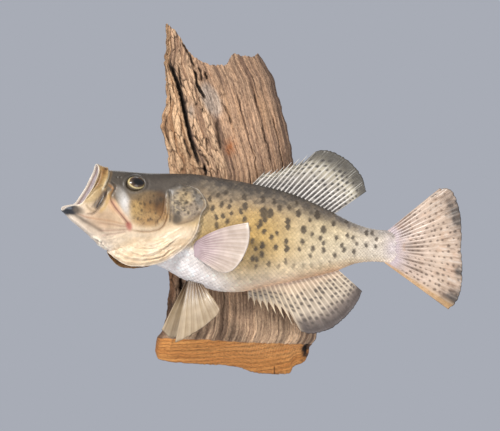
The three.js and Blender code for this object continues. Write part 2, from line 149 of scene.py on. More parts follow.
def path(knots: Array | tuple[Triple, ...], at: Array) -> Array:
    """Read a smooth line through points.

    Args:
        knots: The points, one in each row.
        at: Shares of the line's length.

    Returns:
        A point for each share.
    """
    given = np.asarray(knots, float)
    run = np.append(0, np.cumsum(np.linalg.norm(np.diff(given, axis=0), axis=1)))
    return np.stack([Curve(tuple(zip(run, way)))(at * run[-1]) for way in given.T], axis=-1)


@dataclass(frozen=True)
class Ramp:
    """Colours at stops between 0 and 1."""

    stops: tuple[tuple[float, str], ...]

    def __call__(self, at: Array) -> Array:
        """Read the ramp.

        Args:
            at: Where to read it.

        Returns:
            A colour for each value.
        """
        xs = [stop for stop, _ in self.stops]
        colours = np.array([tint(code) for _, code in self.stops])
        return np.stack([np.interp(at, xs, colours[:, k]) for k in range(3)], axis=-1)


class Mottle:
    """Smooth random values over a plane, the same each time for one seed."""

    PERIOD = 256

    def __init__(self, seed: int) -> None:
        """Fill the table of random values.

        Args:
            seed: Picks the pattern.
        """
        self.table = np.random.default_rng(seed).random((self.PERIOD + 1,) * 2)

    def __call__(self, x: Array, y: Array) -> Array:
        """Read values between -1 and 1 that change over a distance of 1.

        Args:
            x: First coordinate.
            y: Second coordinate.

        Returns:
            The values.
        """
        x, y = np.broadcast_arrays(np.asarray(x, float), np.asarray(y, float))
        i, j = np.floor(x).astype(int), np.floor(y).astype(int)
        u, v = x - i, y - j
        u, v = u * u * (3 - 2 * u), v * v * (3 - 2 * v)
        i, j = i % self.PERIOD, j % self.PERIOD
        t = self.table
        low = t[i, j] * (1 - u) + t[i + 1, j] * u
        high = t[i, j + 1] * (1 - u) + t[i + 1, j + 1] * u
        return 2 * (low * (1 - v) + high * v) - 1

    def layered(self, x: Array, y: Array, layers: int = 4) -> Array:
        """Add finer and finer values, each layer half as strong as the last.

        Args:
            x: First coordinate.
            y: Second coordinate.
            layers: How many.

        Returns:
            Values that stay between -1 and 1.
        """
        total = np.zeros(np.broadcast(x, y).shape)
        for k in range(layers):
            total += self(x * 2**k + 17.3 * k, y * 2**k + 5.9 * k) * 0.5**k
        return total / 2

    def chips(self, x: Array, y: Array) -> tuple[Array, Array]:
        """Break the plane into irregular chips about 1 across.

        Args:
            x: First coordinate.
            y: Second coordinate.

        Returns:
            The distance to the nearest edge of a chip, and a value for each chip from 0 to 1.
        """
        i, j = np.floor(x).astype(int), np.floor(y).astype(int)
        near, next_near = np.full(x.shape, 9.0), np.full(x.shape, 9.0)
        level = np.zeros(x.shape)
        for di in (-1, 0, 1):
            for dj in (-1, 0, 1):
                a, b = (i + di) % self.PERIOD, (j + dj) % self.PERIOD
                far = np.hypot(i + di + self.table[a, b] - x, j + dj + self.table[b, a] - y)
                closer = far < near
                next_near = np.where(closer, near, np.minimum(next_near, far))
                own = self.table[(a * 7 + 3) % self.PERIOD, (b * 5 + 1) % self.PERIOD]
                level = np.where(closer, own, level)
                near = np.where(closer, far, near)
        return next_near - near, level


# ---- lines seen from the side


@dataclass(frozen=True)
class Line:
    """A smooth line as the fish shows from its side: x, z, x, z and so on in millimetres."""

    points: tuple[float, ...]

    def sampled(self, count: int = 28) -> Array:
        """Give evenly spread points of the line.

        Args:
            count: How many points.

        Returns:
            An array of count rows of x and z.
        """
        return path(np.array(self.points, float).reshape(-1, 2), np.linspace(0, 1, count))

    def nearest(self, x: Array, z: Array) -> tuple[Array, Array, Array]:
        """Find how each point lies to the line.

        Args:
            x: The points' x.
            z: The points' z.

        Returns:
            The distance, positive on the line's left; the share of the line's length at the
            nearest place; and the distance with no sign.
        """
        line = self.sampled()
        best = np.full(x.shape, 1e9)
        side = np.ones(x.shape)
        along = np.zeros(x.shape)
        for k in range(len(line) - 1):
            (ax, az), (bx, bz) = line[k], line[k + 1]
            dx, dz = bx - ax, bz - az
            t = unit(((x - ax) * dx + (z - az) * dz) / (dx * dx + dz * dz))
            far = np.hypot(x - ax - dx * t, z - az - dz * t)
            closer = far < best
            cross = dx * (z - az) - dz * (x - ax)
            best = np.where(closer, far, best)
            side = np.where(closer, np.sign(cross), side)
            along = np.where(closer, (k + t) / (len(line) - 1), along)
        return best * side, along, best


def faded(along: Array, fade: float = 0.12, least: float = 0.05) -> Array:
    """Fall towards both ends of a line, from 1 to the least share."""
    return unit(np.minimum(along, 1 - along) / fade + least)


@dataclass(frozen=True)
class Fold(Line):
    """A ridge (positive height) or a groove (negative) along a line."""

    width: float
    height: float

    def depth(self, x: Array, z: Array) -> Array:
        """Give the height that the fold adds at each point, in millimetres."""
        _, along, far = self.nearest(x, z)
        return self.height * bell(far, self.width) * faded(along)


@dataclass(frozen=True)
class Step(Line):
    """An edge of a plate: the surface on the line's left stands higher than on its right."""

    width: float
    height: float
    reach: float

    def depth(self, x: Array, z: Array) -> Array:
        """Give the height that the edge adds at each point.

        Args:
            x: The points' x.
            z: The points' z.

        Returns:
            Heights in millimetres.
        """
        signed, along, far = self.nearest(x, z)
        edge = 0.5 * self.height * np.tanh(signed / self.width)
        return edge * np.exp(-far / self.reach) * faded(along)


@dataclass(frozen=True)
class Stroke(Line):
    """Colour laid along a line."""

    width: float
    colour: str
    strength: float

    def cover(self, x: Array, z: Array) -> Array:
        """Give how much of the colour lies at each point."""
        _, along, far = self.nearest(x, z)
        return self.strength * bell(far, self.width) * faded(along, 0.15, 0.1)


@dataclass(frozen=True)
class Patch:
    """A soft oval of colour: middle (x, z), half sizes, turn in degrees and softness of its rim."""

    middle: Pair
    half: Pair
    turn: float
    colour: str
    strength: float
    soft: float = 0.5

    def cover(self, x: Array, z: Array) -> Array:
        """Give how much of the colour lies at each point.

        Args:
            x: The points' x.
            z: The points' z.

        Returns:
            The cover, up to the patch's strength.
        """
        a = math.radians(self.turn)
        dx, dz = x - self.middle[0], z - self.middle[1]
        u = (dx * math.cos(a) + dz * math.sin(a)) / self.half[0]
        v = (dz * math.cos(a) - dx * math.sin(a)) / self.half[1]
        return self.strength * fall(1 - self.soft, 1 + self.soft, np.hypot(u, v))


# ---- meshes


def sheet(points: Array, colours: Array, grain: Array | None = None) -> BMesh:
    """Lay a grid over rows of points and give each point its colour.

    Args:
        points: Rows by columns by x, y and z, in millimetres.
        colours: Rows by columns by red, green and blue.
        grain: For wood, each point's place in the tree, in metres.

    Returns:
        The grid as a bmesh, in metres.
    """
    rows, columns = points.shape[:2]
    bm = bmesh.new()
    bmesh.ops.create_grid(bm, x_segments=rows - 1, y_segments=columns - 1, size=1)
    paint = bm.verts.layers.float_color.new("paint")
    fibre = None if grain is None else bm.verts.layers.float_vector.new("grain")
    for vert in bm.verts:
        i = round((vert.co.x + 1) / 2 * (rows - 1))
        j = round((vert.co.y + 1) / 2 * (columns - 1))
        vert.co = points[i, j] * MM
        vert[paint] = (*colours[i, j], 1)
        if fibre:
            vert[fibre] = grain[i, j]
    return bm


def meshed(name: str, bm: BMesh) -> bpy.types.Mesh:
    """Turn a bmesh into a mesh.

    Args:
        name: The mesh's name.
        bm: The bmesh, which is freed.

    Returns:
        The mesh.
    """
    data = bpy.data.meshes.new(name)
    bm.to_mesh(data)
    bm.free()
    return data


def joined(first: BMesh, *others: BMesh) -> BMesh:
    """Move bmeshes into one.

    Args:
        first: The bmesh that takes them in.
        others: The bmeshes to move, which are freed.

    Returns:
        The first one.
    """
    for other in others:
        spare = meshed("spare", other)
        first.from_mesh(spare)
        bpy.data.meshes.remove(spare)
    return first


def closed(bm: BMesh, gap: float = 1e-6) -> BMesh:
    """Merge a bmesh's doubled points and turn its faces outwards.

    Args:
        bm: The bmesh.
        gap: Points nearer than this are one, in metres.

    Returns:
        The same bmesh.
    """
    bmesh.ops.remove_doubles(bm, verts=bm.verts, dist=gap)
    bmesh.ops.dissolve_degenerate(bm, dist=gap, edges=bm.edges)
    bm.normal_update()
    bmesh.ops.recalc_face_normals(bm, faces=bm.faces)
    return bm


def placed(name: str, data: bpy.types.Mesh, material: bpy.types.Material) -> bpy.types.Object:
    """Put a mesh in the scene.

    Args:
        name: The object's name.
        data: Its shape, in metres.
        material: Its finish.

    Returns:
        The object.
    """
    data.materials.append(material)
    made = bpy.data.objects.new(name, data)
    bpy.context.scene.collection.objects.link(made)
    return made


def piece(
    data: bpy.types.Mesh, material: bpy.types.Material, nodes: tuple[str, ...] = ()
) -> bpy.types.Object:
    """Put a mesh in the scene as a piece of the mount.

    Args:
        data: Its shape, in metres, with the piece's name.
        material: Its finish.
        nodes: The solids that it stands for.

    Returns:
        The piece.
    """
    data.polygons.foreach_set("use_smooth", [True] * len(data.polygons))
    made = placed(data.name, data, material)
    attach(made, "root")
    if nodes:
        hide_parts(*nodes)
    LOG.info("%s: %d faces", made.name, len(data.polygons))
    return made


def normals_of(points: Array) -> Array:
    """Work out the normals of a grid of points.

    Args:
        points: Rows by columns by x, y and z.

    Returns:
        Unit normals, down the rows crossed with over the columns.
    """
    down, over = np.gradient(points, axis=0), np.gradient(points, axis=1)
    normal = np.cross(down, over)
    return normal / np.maximum(np.linalg.norm(normal, axis=-1, keepdims=True), 1e-9)


# ---- shaders


def operator(kind: str, reflected: bool = False) -> Callable[["Value", object], "Value"]:
    """Make an operator of shader values.

    Args:
        kind: The Math node's operation.
        reflected: Whether the value stands on the right.

    Returns:
        The method.
    """

    def method(self: "Value", other: object) -> "Value":
        """Add a Math node.

        Args:
            other: The other number or value.

        Returns:
            The node's result.
        """
        first, second = (other, self) if reflected else (self, other)
        node = self.build.node("ShaderNodeMath", {"operation": kind}, {0: first, 1: second})
        return Value(self.build, node.outputs[0])

    return method


@dataclass(frozen=True)
class Value:
    """A shader socket that takes part in sums."""

    build: "Shader"
    socket: bpy.types.NodeSocket

    __add__, __radd__ = operator("ADD"), operator("ADD", True)
    __sub__, __rsub__ = operator("SUBTRACT"), operator("SUBTRACT", True)
    __mul__, __rmul__ = operator("MULTIPLY"), operator("MULTIPLY", True)


class Shader:
    """A material built from nodes around one Principled shader."""

    def __init__(self, name: str, **constants: float | tuple[float, ...]) -> None:
        """Start the material.

        Args:
            name: The material's name.
            constants: Values of the Principled shader's sockets, with _ for a space.
        """
        self.material = bpy.data.materials.new(name)
        self.material.use_nodes = True
        self.tree = self.material.node_tree
        self.tree.nodes.clear()
        self.body = self.node("ShaderNodeBsdfPrincipled")
        output = self.node("ShaderNodeOutputMaterial")
        self.tree.links.new(self.body.outputs[0], output.inputs["Surface"])
        for key, value in constants.items():
            self.body.inputs[key.replace("_", " ")].default_value = value

    def node(
        self,
        kind: str,
        settings: dict[str, object] | None = None,
        inputs: dict[object, object] | None = None,
    ) -> bpy.types.Node:
        """Add a node.

        Args:
            kind: The node's type.
            settings: Its properties, and "stops" for a colour ramp.
            inputs: Values or links of its sockets.

        Returns:
            The node.
        """
        made = self.tree.nodes.new(kind)
        for key, value in (settings or {}).items():
            if key == "stops":
                self._ramp(made, value)
            else:
                setattr(made, key, value)
        for key, value in (inputs or {}).items():
            self.feed(made.inputs[key], value)
        return made

    def _ramp(self, node: bpy.types.Node, stops: tuple[tuple[float, str], ...]) -> None:
        """Set the stops of a colour ramp.

        Args:
            node: The ramp.
            stops: Positions and colours.
        """
        elements = node.color_ramp.elements
        while len(elements) < len(stops):
            elements.new(0.5)
        for element, (position, code) in zip(elements, stops):
            element.position = position
            element.color = (*tint(code), 1)

    def feed(self, socket: bpy.types.NodeSocket, value: object) -> None:
        """Link a value to a socket, or set the socket to it.

        Args:
            socket: The socket.
            value: A value, another socket, or a constant.
        """
        if isinstance(value, Value):
            self.tree.links.new(value.socket, socket)
        elif isinstance(value, bpy.types.NodeSocket):
            self.tree.links.new(value, socket)
        else:
            socket.default_value = value

    def attribute(self, name: str, output: str = "Color") -> Value:
        """Read a layer of the mesh."""
        node = self.node("ShaderNodeAttribute", {"attribute_name": name})
        return Value(self, node.outputs[output])

    def place(self, scale: Triple, layer: str = "") -> bpy.types.NodeSocket:
        """Give stretched coordinates: the object's own, or those of a layer.

        Args:
            scale: Stretch along each axis.
            layer: Name of a vector layer, or nothing for Object coordinates.

        Returns:
            The coordinates.
        """
        if layer:
            source = self.attribute(layer, "Vector").socket
        else:
            source = self.node("ShaderNodeTexCoord").outputs["Object"]
        return self.node("ShaderNodeMapping", None, {"Vector": source, "Scale": scale}).outputs[0]

    def noise(self, scale: Triple, detail: float = 4, layer: str = "") -> Value:
        """Give cloudy values around 0.5.

        Args:
            scale: How fine they are along each axis.
            detail: How many finer layers they have.
            layer: The layer of coordinates, or nothing for Object coordinates.

        Returns:
            The values.
        """
        inputs = {"Vector": self.place(scale, layer), "Scale": 1.0, "Detail": detail}
        return Value(self, self.node("ShaderNodeTexNoise", None, inputs).outputs["Fac"])

    def ramp(self, value: Value, *stops: tuple[float, str]) -> Value:
        """Turn a value into a colour."""
        made = self.node("ShaderNodeValToRGB", {"stops": stops}, {"Fac": value})
        return Value(self, made.outputs["Color"])

    def mix(self, share: object, one: object, two: object, how: str = "MIX") -> Value:
        """Mix two colours.

        Args:
            share: How much of the second there is.
            one: The first colour.
            two: The second.
            how: The way of mixing.

        Returns:
            The mixed colour.
        """
        made = self.node("ShaderNodeMix", {"data_type": "RGBA", "blend_type": how})
        colours = [socket for socket in made.inputs if socket.type == "RGBA"]
        self.feed(made.inputs["Factor"], share)
        self.feed(colours[0], one)
        self.feed(colours[1], two)
        return Value(self, next(o for o in made.outputs if o.type == "RGBA"))

    def bump(self, height: Value, strength: float, distance: float) -> None:
        """Let a height shape the surface's light.

        Args:
            height: The height.
            strength: How strongly.
            distance: The full height in metres.
        """
        inputs = {"Height": height, "Strength": strength, "Distance": distance}
        self.set("Normal", self.node("ShaderNodeBump", None, inputs).outputs["Normal"])

    def set(self, socket: str, value: object) -> None:
        """Feed one of the Principled shader's sockets."""
        self.feed(self.body.inputs[socket], value)


@dataclass(frozen=True)
class PaintedFinish:
    """Dried skin or fin with painted marks and a thin coat of lacquer."""

    name: str
    roughness: float = 0.42
    lacquer: float = 0.25
    grain: float = 900.0
    relief: float = 0.25

    def material(self) -> bpy.types.Material:
        """Build the material.

        Returns:
            The material.
        """
        s = Shader(self.name, Coat_Roughness=0.22, IOR=1.45)
        fine = s.noise((self.grain,) * 3, 3)
        broad = s.noise((120.0,) * 3, 3)
        tone = s.ramp(broad, (0.3, "9c9184"), (0.7, "ffffff"))
        s.set("Base Color", s.mix(0.35, s.attribute("paint"), tone, "MULTIPLY"))
        s.set("Roughness", self.roughness - 0.08 + fine * 0.16)
        s.set("Coat Weight", self.lacquer)
        s.bump(fine, self.relief, 0.0004)
        return s.material


@dataclass(frozen=True)
class EyeFinish:
    """Cast eye with a painted iris under a high gloss."""

    name: str = "eye_gloss"

    def material(self) -> bpy.types.Material:
        """Build the material.

        Returns:
            The material.
        """
        s = Shader(self.name, Roughness=0.3, Coat_Roughness=0.04, Coat_Weight=0.55, IOR=1.4)
        s.set("Base Color", s.attribute("paint"))
        return s.material


@dataclass(frozen=True)
class WoodFinish:
    """Weathered split wood, with fresh orange wood where it is sawn."""

    name: str = "weathered_wood"

    def material(self) -> bpy.types.Material:
        """Build the material.

        Returns:
            The material.
        """
        s = Shader(self.name, Coat_Weight=0.0, IOR=1.45)
        fibre = s.noise((900.0, 900.0, 60.0), 5, "grain")
        streak = s.noise((260.0, 260.0, 9.0), 4, "grain")
        fleck = s.noise((700.0, 700.0, 260.0), 3, "grain")
        tone = s.ramp(streak, (0.3, "9c9186"), (0.5, "ffffff"), (0.72, "ffe8cf"))
        shade = s.mix(0.4, s.attribute("paint"), tone, "MULTIPLY")
        shade = s.mix(0.45, shade, s.ramp(fibre, (0.32, "6f6054"), (0.55, "ffffff")), "MULTIPLY")
        shade = s.mix(0.4, shade, s.ramp(fleck, (0.34, "5f4d40"), (0.48, "ffffff")), "MULTIPLY")
        s.set("Base Color", shade)
        s.set("Roughness", 0.78 + fibre * 0.2)
        s.bump(fibre * 0.7 + fleck * 0.5, 0.55, 0.0009)
        return s.material


@dataclass(frozen=True)
class SteelFinish:
    """Dull zinc-plated steel."""

    name: str = "zinc_plate"

    def material(self) -> bpy.types.Material:
        """Build the material.

        Returns:
            The material.
        """
        s = Shader(self.name, Metallic=1.0, IOR=2.5)
        cloud = s.noise((240.0,) * 3, 4)
        s.set("Base Color", s.ramp(cloud, (0.3, "8d8a82"), (0.7, "b4b2ab")))
        s.set("Roughness", 0.32 + cloud * 0.2)
        return s.material


@dataclass(frozen=True)
class PlainFinish:
    """One even colour."""

    name: str
    colour: str
    roughness: float = 0.9

    def material(self) -> bpy.types.Material:
        """Build the material.

        Returns:
            The material.
        """
        s = Shader(self.name, Roughness=self.roughness)
        s.set("Base Color", (*tint(self.colour), 1))
        return s.material


# ---- the fish's form


class Side(Enum):
    """A flank of the fish: its left side faces the room, its right side the wall."""

    LEFT = 1
    RIGHT = -1


@dataclass(frozen=True)
class FishForm:
    """The curved body: outlines in side view, widths and the bend off the wall, in millimetres."""

    snout: Pair = (-120.6, 32.9)
    jaw_tip: Pair = (-152.2, -9.8)
    tail_root: float = 142.2
    lean_ends: float = 0.67
    fade: float = 0.05
    coat: float = 0.6
    halvings: int = 22
    back: Curve = Curve((
        (-120.6, 32.9), (-110.7, 28.4), (-100.8, 26.8), (-73.8, 24.6), (-37.8, 23.9), (-19.8, 21.6),
        (16.2, 15.3), (52.2, 6.3), (83.7, -7.2), (106.2, -18.9), (124.2, -25.2), (142.2, -27),
    ))
    belly: Curve = Curve((
        (-152.2, -9.8), (-145.8, -16.2), (-127.8, -32.4), (-115.2, -44.1), (-91.8, -52.5),
        (-66.6, -59.5), (-41.4, -72.9), (-15.3, -81.9), (7.2, -83.1), (25.2, -79.2), (61.2, -72),
        (92.7, -64.4), (110.7, -57.6), (128.7, -55.8), (142.2, -57.6),
    ))
    half_width: Curve = Curve((
        (0, 12.2), (0.05, 14), (0.12, 16.5), (0.2, 19.5), (0.3, 22.3), (0.42, 22.8), (0.55, 21.5),
        (0.7, 17.3), (0.8, 12.6), (0.9, 7.8), (0.955, 4.7), (1, 1.5),
    ))
    keenness: Curve = Curve(((0, 0.72), (0.12, 0.82), (0.3, 0.92), (0.5, 1.02), (1, 0.95)))
    rim_hollow: Curve = Curve((
        (0, 0), (0.1, 3.3), (0.26, 5.7), (0.41, 7.3), (0.6, 7.9), (0.76, 7.6), (0.85, 3.4),
        (0.93, 0.2), (1, 0),
    ))
    off_wall: Curve = Curve((
        (-156, -98), (-120, -85.3), (-90, -75.5), (-60, -67.5), (-20, -61.6), (20, -60.2),
        (80, -61.4), (110, -64), (140, -68.3), (175, -74.5), (208, -81.5),
    ))

    @property
    def length(self) -> float:
        """Length from the snout to the tail fin."""
        return self.tail_root - self.snout[0]

    def heading(self, x: Array) -> Array:
        """Give the angle by which the middle plane turns from the wall at x."""
        return np.arctan((self.off_wall(x + 2) - self.off_wall(x - 2)) / 4)

    def bend(self, x: Array, out: Array, z: Array) -> Array:
        """Carry points of the straight fish to the curved one.

        Args:
            x: Along the fish.
            out: Sideways from its middle plane, positive to the room.
            z: Up.

        Returns:
            The points, with x, y and z in the last axis.
        """
        x, out, z = np.broadcast_arrays(*(np.asarray(v, float) for v in (x, out, z)))
        turn = self.heading(x)
        return np.stack([x + out * np.sin(turn), self.off_wall(x) - out * np.cos(turn), z], -1)

    def shown(self, x: Array, out: Array) -> Array:
        """Give the x at which a point of the straight fish shows from its own side."""
        return x + np.abs(out) * np.sin(self.heading(x))

    def straight(self, x: Array, out: Array) -> Array:
        """Give the straight x of a point that shows at x from its own side."""
        return x - np.abs(out) * np.sin(self.heading(x))

    def section(self, share: Array) -> tuple[Array, ...]:
        """Measure sections of the body.

        Args:
            share: Shares of the length.

        Returns:
            x and z of the top point, x and z of the low point, and the half width.
        """
        share = np.asarray(share, float)
        lean = (self.snout[0] - self.jaw_tip[0]) * np.maximum(0, 1 - share / self.lean_ends) ** 1.2
        top = self.snout[0] + self.length * share
        low = top - lean
        return top, self.back(top), low, self.belly(low), self.half_width(share)

    def flesh(self, share: Array, turn: Array, grow: Array = 0.0) -> tuple[Array, Array, Array]:
        """Give points of the straight body.

        Args:
            share: Share of the length.
            turn: 0 on the back, pi on the belly by the side to the room.
            grow: How far outside the body.

        Returns:
            x, out and z.
        """
        share, turn, grow = np.broadcast_arrays(
            *(np.asarray(v, float) for v in (share, turn, grow))
        )
        top_x, top_z, low_x, low_z, wide = self.section(share)
        down = (1 - np.cos(turn)) / 2
        chord = np.hypot(low_x - top_x, low_z - top_z)
        along_x, along_z = (low_x - top_x) / chord, (low_z - top_z) / chord
        hollow = self.rim_hollow(down) * np.exp(-share / self.fade)
        run = chord * down - grow * np.cos(turn)
        out = np.maximum(wide + grow, 0) * np.abs(np.sin(turn)) ** self.keenness(share)
        x = top_x + along_x * run - along_z * hollow
        z = top_z + along_z * run + along_x * hollow
        return x, out * np.sign(np.sin(turn)), z

    def locate(self, x: Array, z: Array) -> tuple[Array, Array]:
        """Find the section of a straight point in side view.

        Args:
            x: Along the fish.
            z: Up.

        Returns:
            The share of the length and the share of the way from back to belly.
        """
        x, z = np.broadcast_arrays(np.asarray(x, float), np.asarray(z, float))
        low, high = np.zeros(x.shape), np.ones(x.shape)
        for _ in range(self.halvings):
            share = (low + high) / 2
            top_x, top_z, low_x, low_z, _ = self.section(share)
            ahead = (low_x - top_x) * (z - top_z) - (low_z - top_z) * (x - top_x) > 0
            low, high = np.where(ahead, share, low), np.where(ahead, high, share)
        _, top_z, _, low_z, _ = self.section(low)
        return low, np.clip((top_z - z) / (top_z - low_z), 0.002, 0.998)

    def flank(self, x: Array, z: Array) -> Array:
        """Measure how far the flank stands out at straight points.

        Args:
            x: The points' x.
            z: The points' z.

        Returns:
            The distances from the middle plane.
        """
        share, down = self.locate(x, z)
        fullness = 2 * np.sqrt(down * (1 - down))
        return self.half_width(share) * fullness ** self.keenness(share)


FORM = FishForm()


# ---- folds of the head


# lines that are both folded and painted
MOUTH_CREASE = (-108.7, 1.4, -103.3, -7.4, -97.1, -15.1, -92.5, -21.3, -90.9, -26)
JAW_EDGE = (-141, -11, -127.6, -15.8, -108, -19, -92, -22.6)
JAW_LINE_1 = (-119.5, -20.6, -108, -22, -100, -23.4, -92.6, -24.6)
JAW_LINE_2 = (-120.3, -27.5, -110, -27.6, -101, -27.2, -92.4, -26.4)
JAW_LINE_3 = (-118, -32.1, -109, -31.2, -100, -29.6, -92.6, -27.6)
CHEEK_EDGE = (-90.1, -27.5, -79, -28.4, -64, -26.2, -58.4, -18.2, -56.1, -2.8)
CHEEK_CREASE = (-60, 1.9, -60.6, -6, -62.3, -13.6, -68.5, -21.3)
PLATE_GROOVE = (-55.4, 9.6, -54.6, -5.9, -55.2, -21.3)


@dataclass(frozen=True)
class HeadRelief:
    """Ridges, grooves and plates of the head and gill covers."""

    eye: Pair = (-86.3, 14.3)
    nostrils: tuple[Pair, ...] = ((-102.4, 20.4), (-99.4, 20))
    ends: float = -15
    folds: tuple[Fold | Step, ...] = (
        # the upper lip: a rounded band with a raised rear edge, then the snout's groove
        Step((-110.8, 31, -110.6, 27, -110.2, 22, -111.8, 15.8, -114.4, 10), 0.5, -2.3, 6),
        Fold((-111.4, 29, -111.2, 22, -112.6, 15.6, -115.3, 9.9), 0.7, 0.5),
        Fold((-116, 29, -117.2, 23.5, -118.7, 17.3, -123.4, 9.6, -128.8, 2.6), 0.6, -1.0),
        Fold((-119, 26, -121.2, 18, -125, 10.6, -131, 3), 1.0, 0.5),
        # the upper jaw's plate below it, with long hollows
        Step((-111, 10.8, -114, 0.6, -119, -7.2, -124, -11.8, -130.5, -12.2), 0.5, -2.2, 5),
        Fold((-132.4, -1, -127.6, 2.1, -121, 9, -115, 12.6), 0.8, -0.8),
        Fold((-114.1, 5.7, -117.4, -1.2, -121.8, -9), 0.8, -0.8),
        Fold((-119.5, 1.9, -121.8, -3, -124.9, -7.4), 0.7, -0.7),
        Fold((-128, 9.6, -130.8, 5, -133.4, -0.5), 0.6, -0.6),
        Fold((-112.4, 3.2, -116, -4, -121.4, -11), 0.6, 0.4),
        # folds of loose skin from the snout to the corner of the mouth
        Fold((-110, 16.5, -105.6, 11.7, -107, 8.8, -110.2, 5, -108.5, -1.8), 0.9, 0.7),
        Fold((-108, 16.5, -103.3, 12, -104.5, 8, -107.2, 3.5, -105.8, -3), 0.8, -0.8),
        Fold(MOUTH_CREASE, 0.7, -0.9),
        Fold((-105.4, 3, -100.8, -6, -95, -13.4, -90.6, -19.8), 1.0, 0.6),
        Fold((-110.6, -0.6, -105.4, -9, -99.4, -16.4, -94.6, -22.3), 0.8, 0.45),
        # the lower jaw: its upper edge and the lines that run to the corner of the mouth
        Step(JAW_EDGE, 0.5, -1.3, 6),
        Fold(JAW_LINE_1, 0.45, -0.45),
        Fold((-121, -23.6, -110, -24.6, -101, -25, -92.6, -25.4), 0.45, 0.35),
        Fold(JAW_LINE_2, 0.45, -0.45),
        Fold(JAW_LINE_3, 0.5, -0.4),
        Fold((-116, -36, -108, -34.6, -99, -32, -92, -29), 0.5, 0.35),
        Fold((-146, -14.5, -133, -23.6, -124, -31.5), 1.3, 0.5),
        # the crinkled throat
        Fold((-124, -33, -119.5, -34.6, -116.6, -38.6), 0.7, 1.0),
        Fold((-121.6, -36, -117.6, -38, -114.4, -42), 0.6, -1.0),
        Fold((-119.4, -38.6, -115, -39.6, -111.6, -43), 0.6, 1.0),
        Fold((-113.6, -36.6, -112.4, -40.6, -109, -43.6), 0.5, -0.5),
        # cheek plates
        Fold(CHEEK_EDGE, 0.65, -0.8),
        Fold(CHEEK_CREASE, 0.6, -0.55),
        Fold((-57.9, 9, -58.2, -3, -58, -12, -60.6, -20), 0.6, 0.55),
        Fold(PLATE_GROOVE, 0.5, -0.9),
        Fold((-53, 6, -52.6, -4, -52.8, -14), 0.6, 0.4),
        Fold((-98.6, 5.7, -94, -4, -90.9, -13), 1.6, 0.4),
        # the gill cover's spotted plate, raised above the membrane below it
        Step((-50, -22.6, -36.5, -18.4, -28, -12.6, -23.4, -7), 0.6, 0.9, 6),
        Fold((-44, 8.5, -34, 6.5, -28.5, 1.5, -25.5, -4), 0.8, -0.35),
        # wrinkles of the membrane under the jaw
        Fold(
            (-105.6, -39.9, -101, -46, -91.7, -50.7, -79.3, -52.2, -63.9, -49.1, -50, -41),
            0.6, 1.1,
        ),
        Fold((-101, -38.3, -94.8, -44.5, -84, -48.4, -70, -46, -57.7, -39.9, -45, -31), 0.55, 1.0),
        Fold((-94.8, -38.3, -88.6, -43, -76.2, -45.3, -63.9, -41.4, -52, -34.6), 0.55, 1.0),
        Fold((-84, -36.8, -80.9, -41.4, -73.1, -43, -65.4, -39.9, -56, -35), 0.55, 0.9),
        Fold((-79.3, -36.8, -74.7, -39.9, -68.5, -38.3, -61, -35), 0.5, 0.8),
        Fold((-98, -41.2, -91.6, -46.6, -80, -50, -66, -47.4, -52, -37.6), 0.5, -0.8),
        Fold((-91.4, -38.4, -86, -43.4, -75, -44, -64.6, -40.6), 0.5, -0.8),
        Fold(
            (-109, -43.4, -104, -50, -95, -54.6, -81, -56, -66, -53, -51, -45.4, -40, -35),
            0.6, 0.9,
        ),
        Fold((-107, -41.6, -102.6, -48.4, -93, -52.8, -80, -54.2, -65, -51.2, -50, -43), 0.5, -0.8),
        Fold((-74, -35.4, -66, -35, -55.6, -31, -42, -22.7), 0.6, 0.4),
        Fold((-34.5, -29, -32, -22, -27.6, -15, -25, -10), 0.8, 0.45),
    )

    def __call__(self, x: Array, z: Array) -> Array:
        """Give the relief's height at each point as it shows from the side, in millimetres.

        Args:
            x: The points' x.
            z: The points' z.

        Returns:
            Heights, negative into the flesh.
        """
        total = np.zeros(np.broadcast(x, z).shape)
        near = x < self.ends
        if not near.any():
            return total
        head_x, head_z = x[near], z[near]
        stray_x, stray_z = self.astray(head_x, head_z)
        height = sum(fold.depth(stray_x, stray_z) for fold in self.folds)
        height = height + self.socket(head_x, head_z) + self.crinkle(head_x, head_z)
        for hole_x, hole_z in self.nostrils:
            height -= 1.1 * bell(np.hypot(head_x - hole_x, head_z - hole_z), 0.75)
        total[near] = height
        return total

    def lines(self, x: Array, z: Array) -> Array:
        """Add up the narrow folds alone, without the steps between plates."""
        x, z = self.astray(x, z)
        return sum(fold.depth(x, z) for fold in self.folds if isinstance(fold, Fold))

    def astray(self, x: Array, z: Array) -> tuple[Array, Array]:
        """Shift the points of the membrane a little, so that its folds run unevenly.

        Args:
            x: The points' x.
            z: The points' z.

        Returns:
            The shifted x and z.
        """
        loose = 1.6 * self.membrane(x, z)
        over = loose * cloudy(x / 5 + 3, z / 5, 2)
        return x + over, z + loose * cloudy(x / 5, z / 5 + 9, 2)

    def membrane(self, x: Array, z: Array, low: float = -34) -> Array:
        """Give 1 on the loose membrane under the jaw and 0 above it, where it ends softly."""
        return ease(low + 10, low, z - 0.1 * (x + 60)) * ease(-112, -100, x)

    def crinkle(self, x: Array, z: Array) -> Array:
        """Give the crumpled skin of the throat and the faint pitting of the membrane.

        Args:
            x: The points' x.
            z: The points' z.

        Returns:
            Heights in millimetres.
        """
        throat = fall(0.6, 1.2, np.hypot((x + 114) / 15, (z + 38) / 9))
        rough = cloudy((x + 0.6 * z) / 4.2, (z - 0.5 * x) / 1.7, 3)
        return 0.8 * rough * np.maximum(throat, 0.5 * self.membrane(x, z))

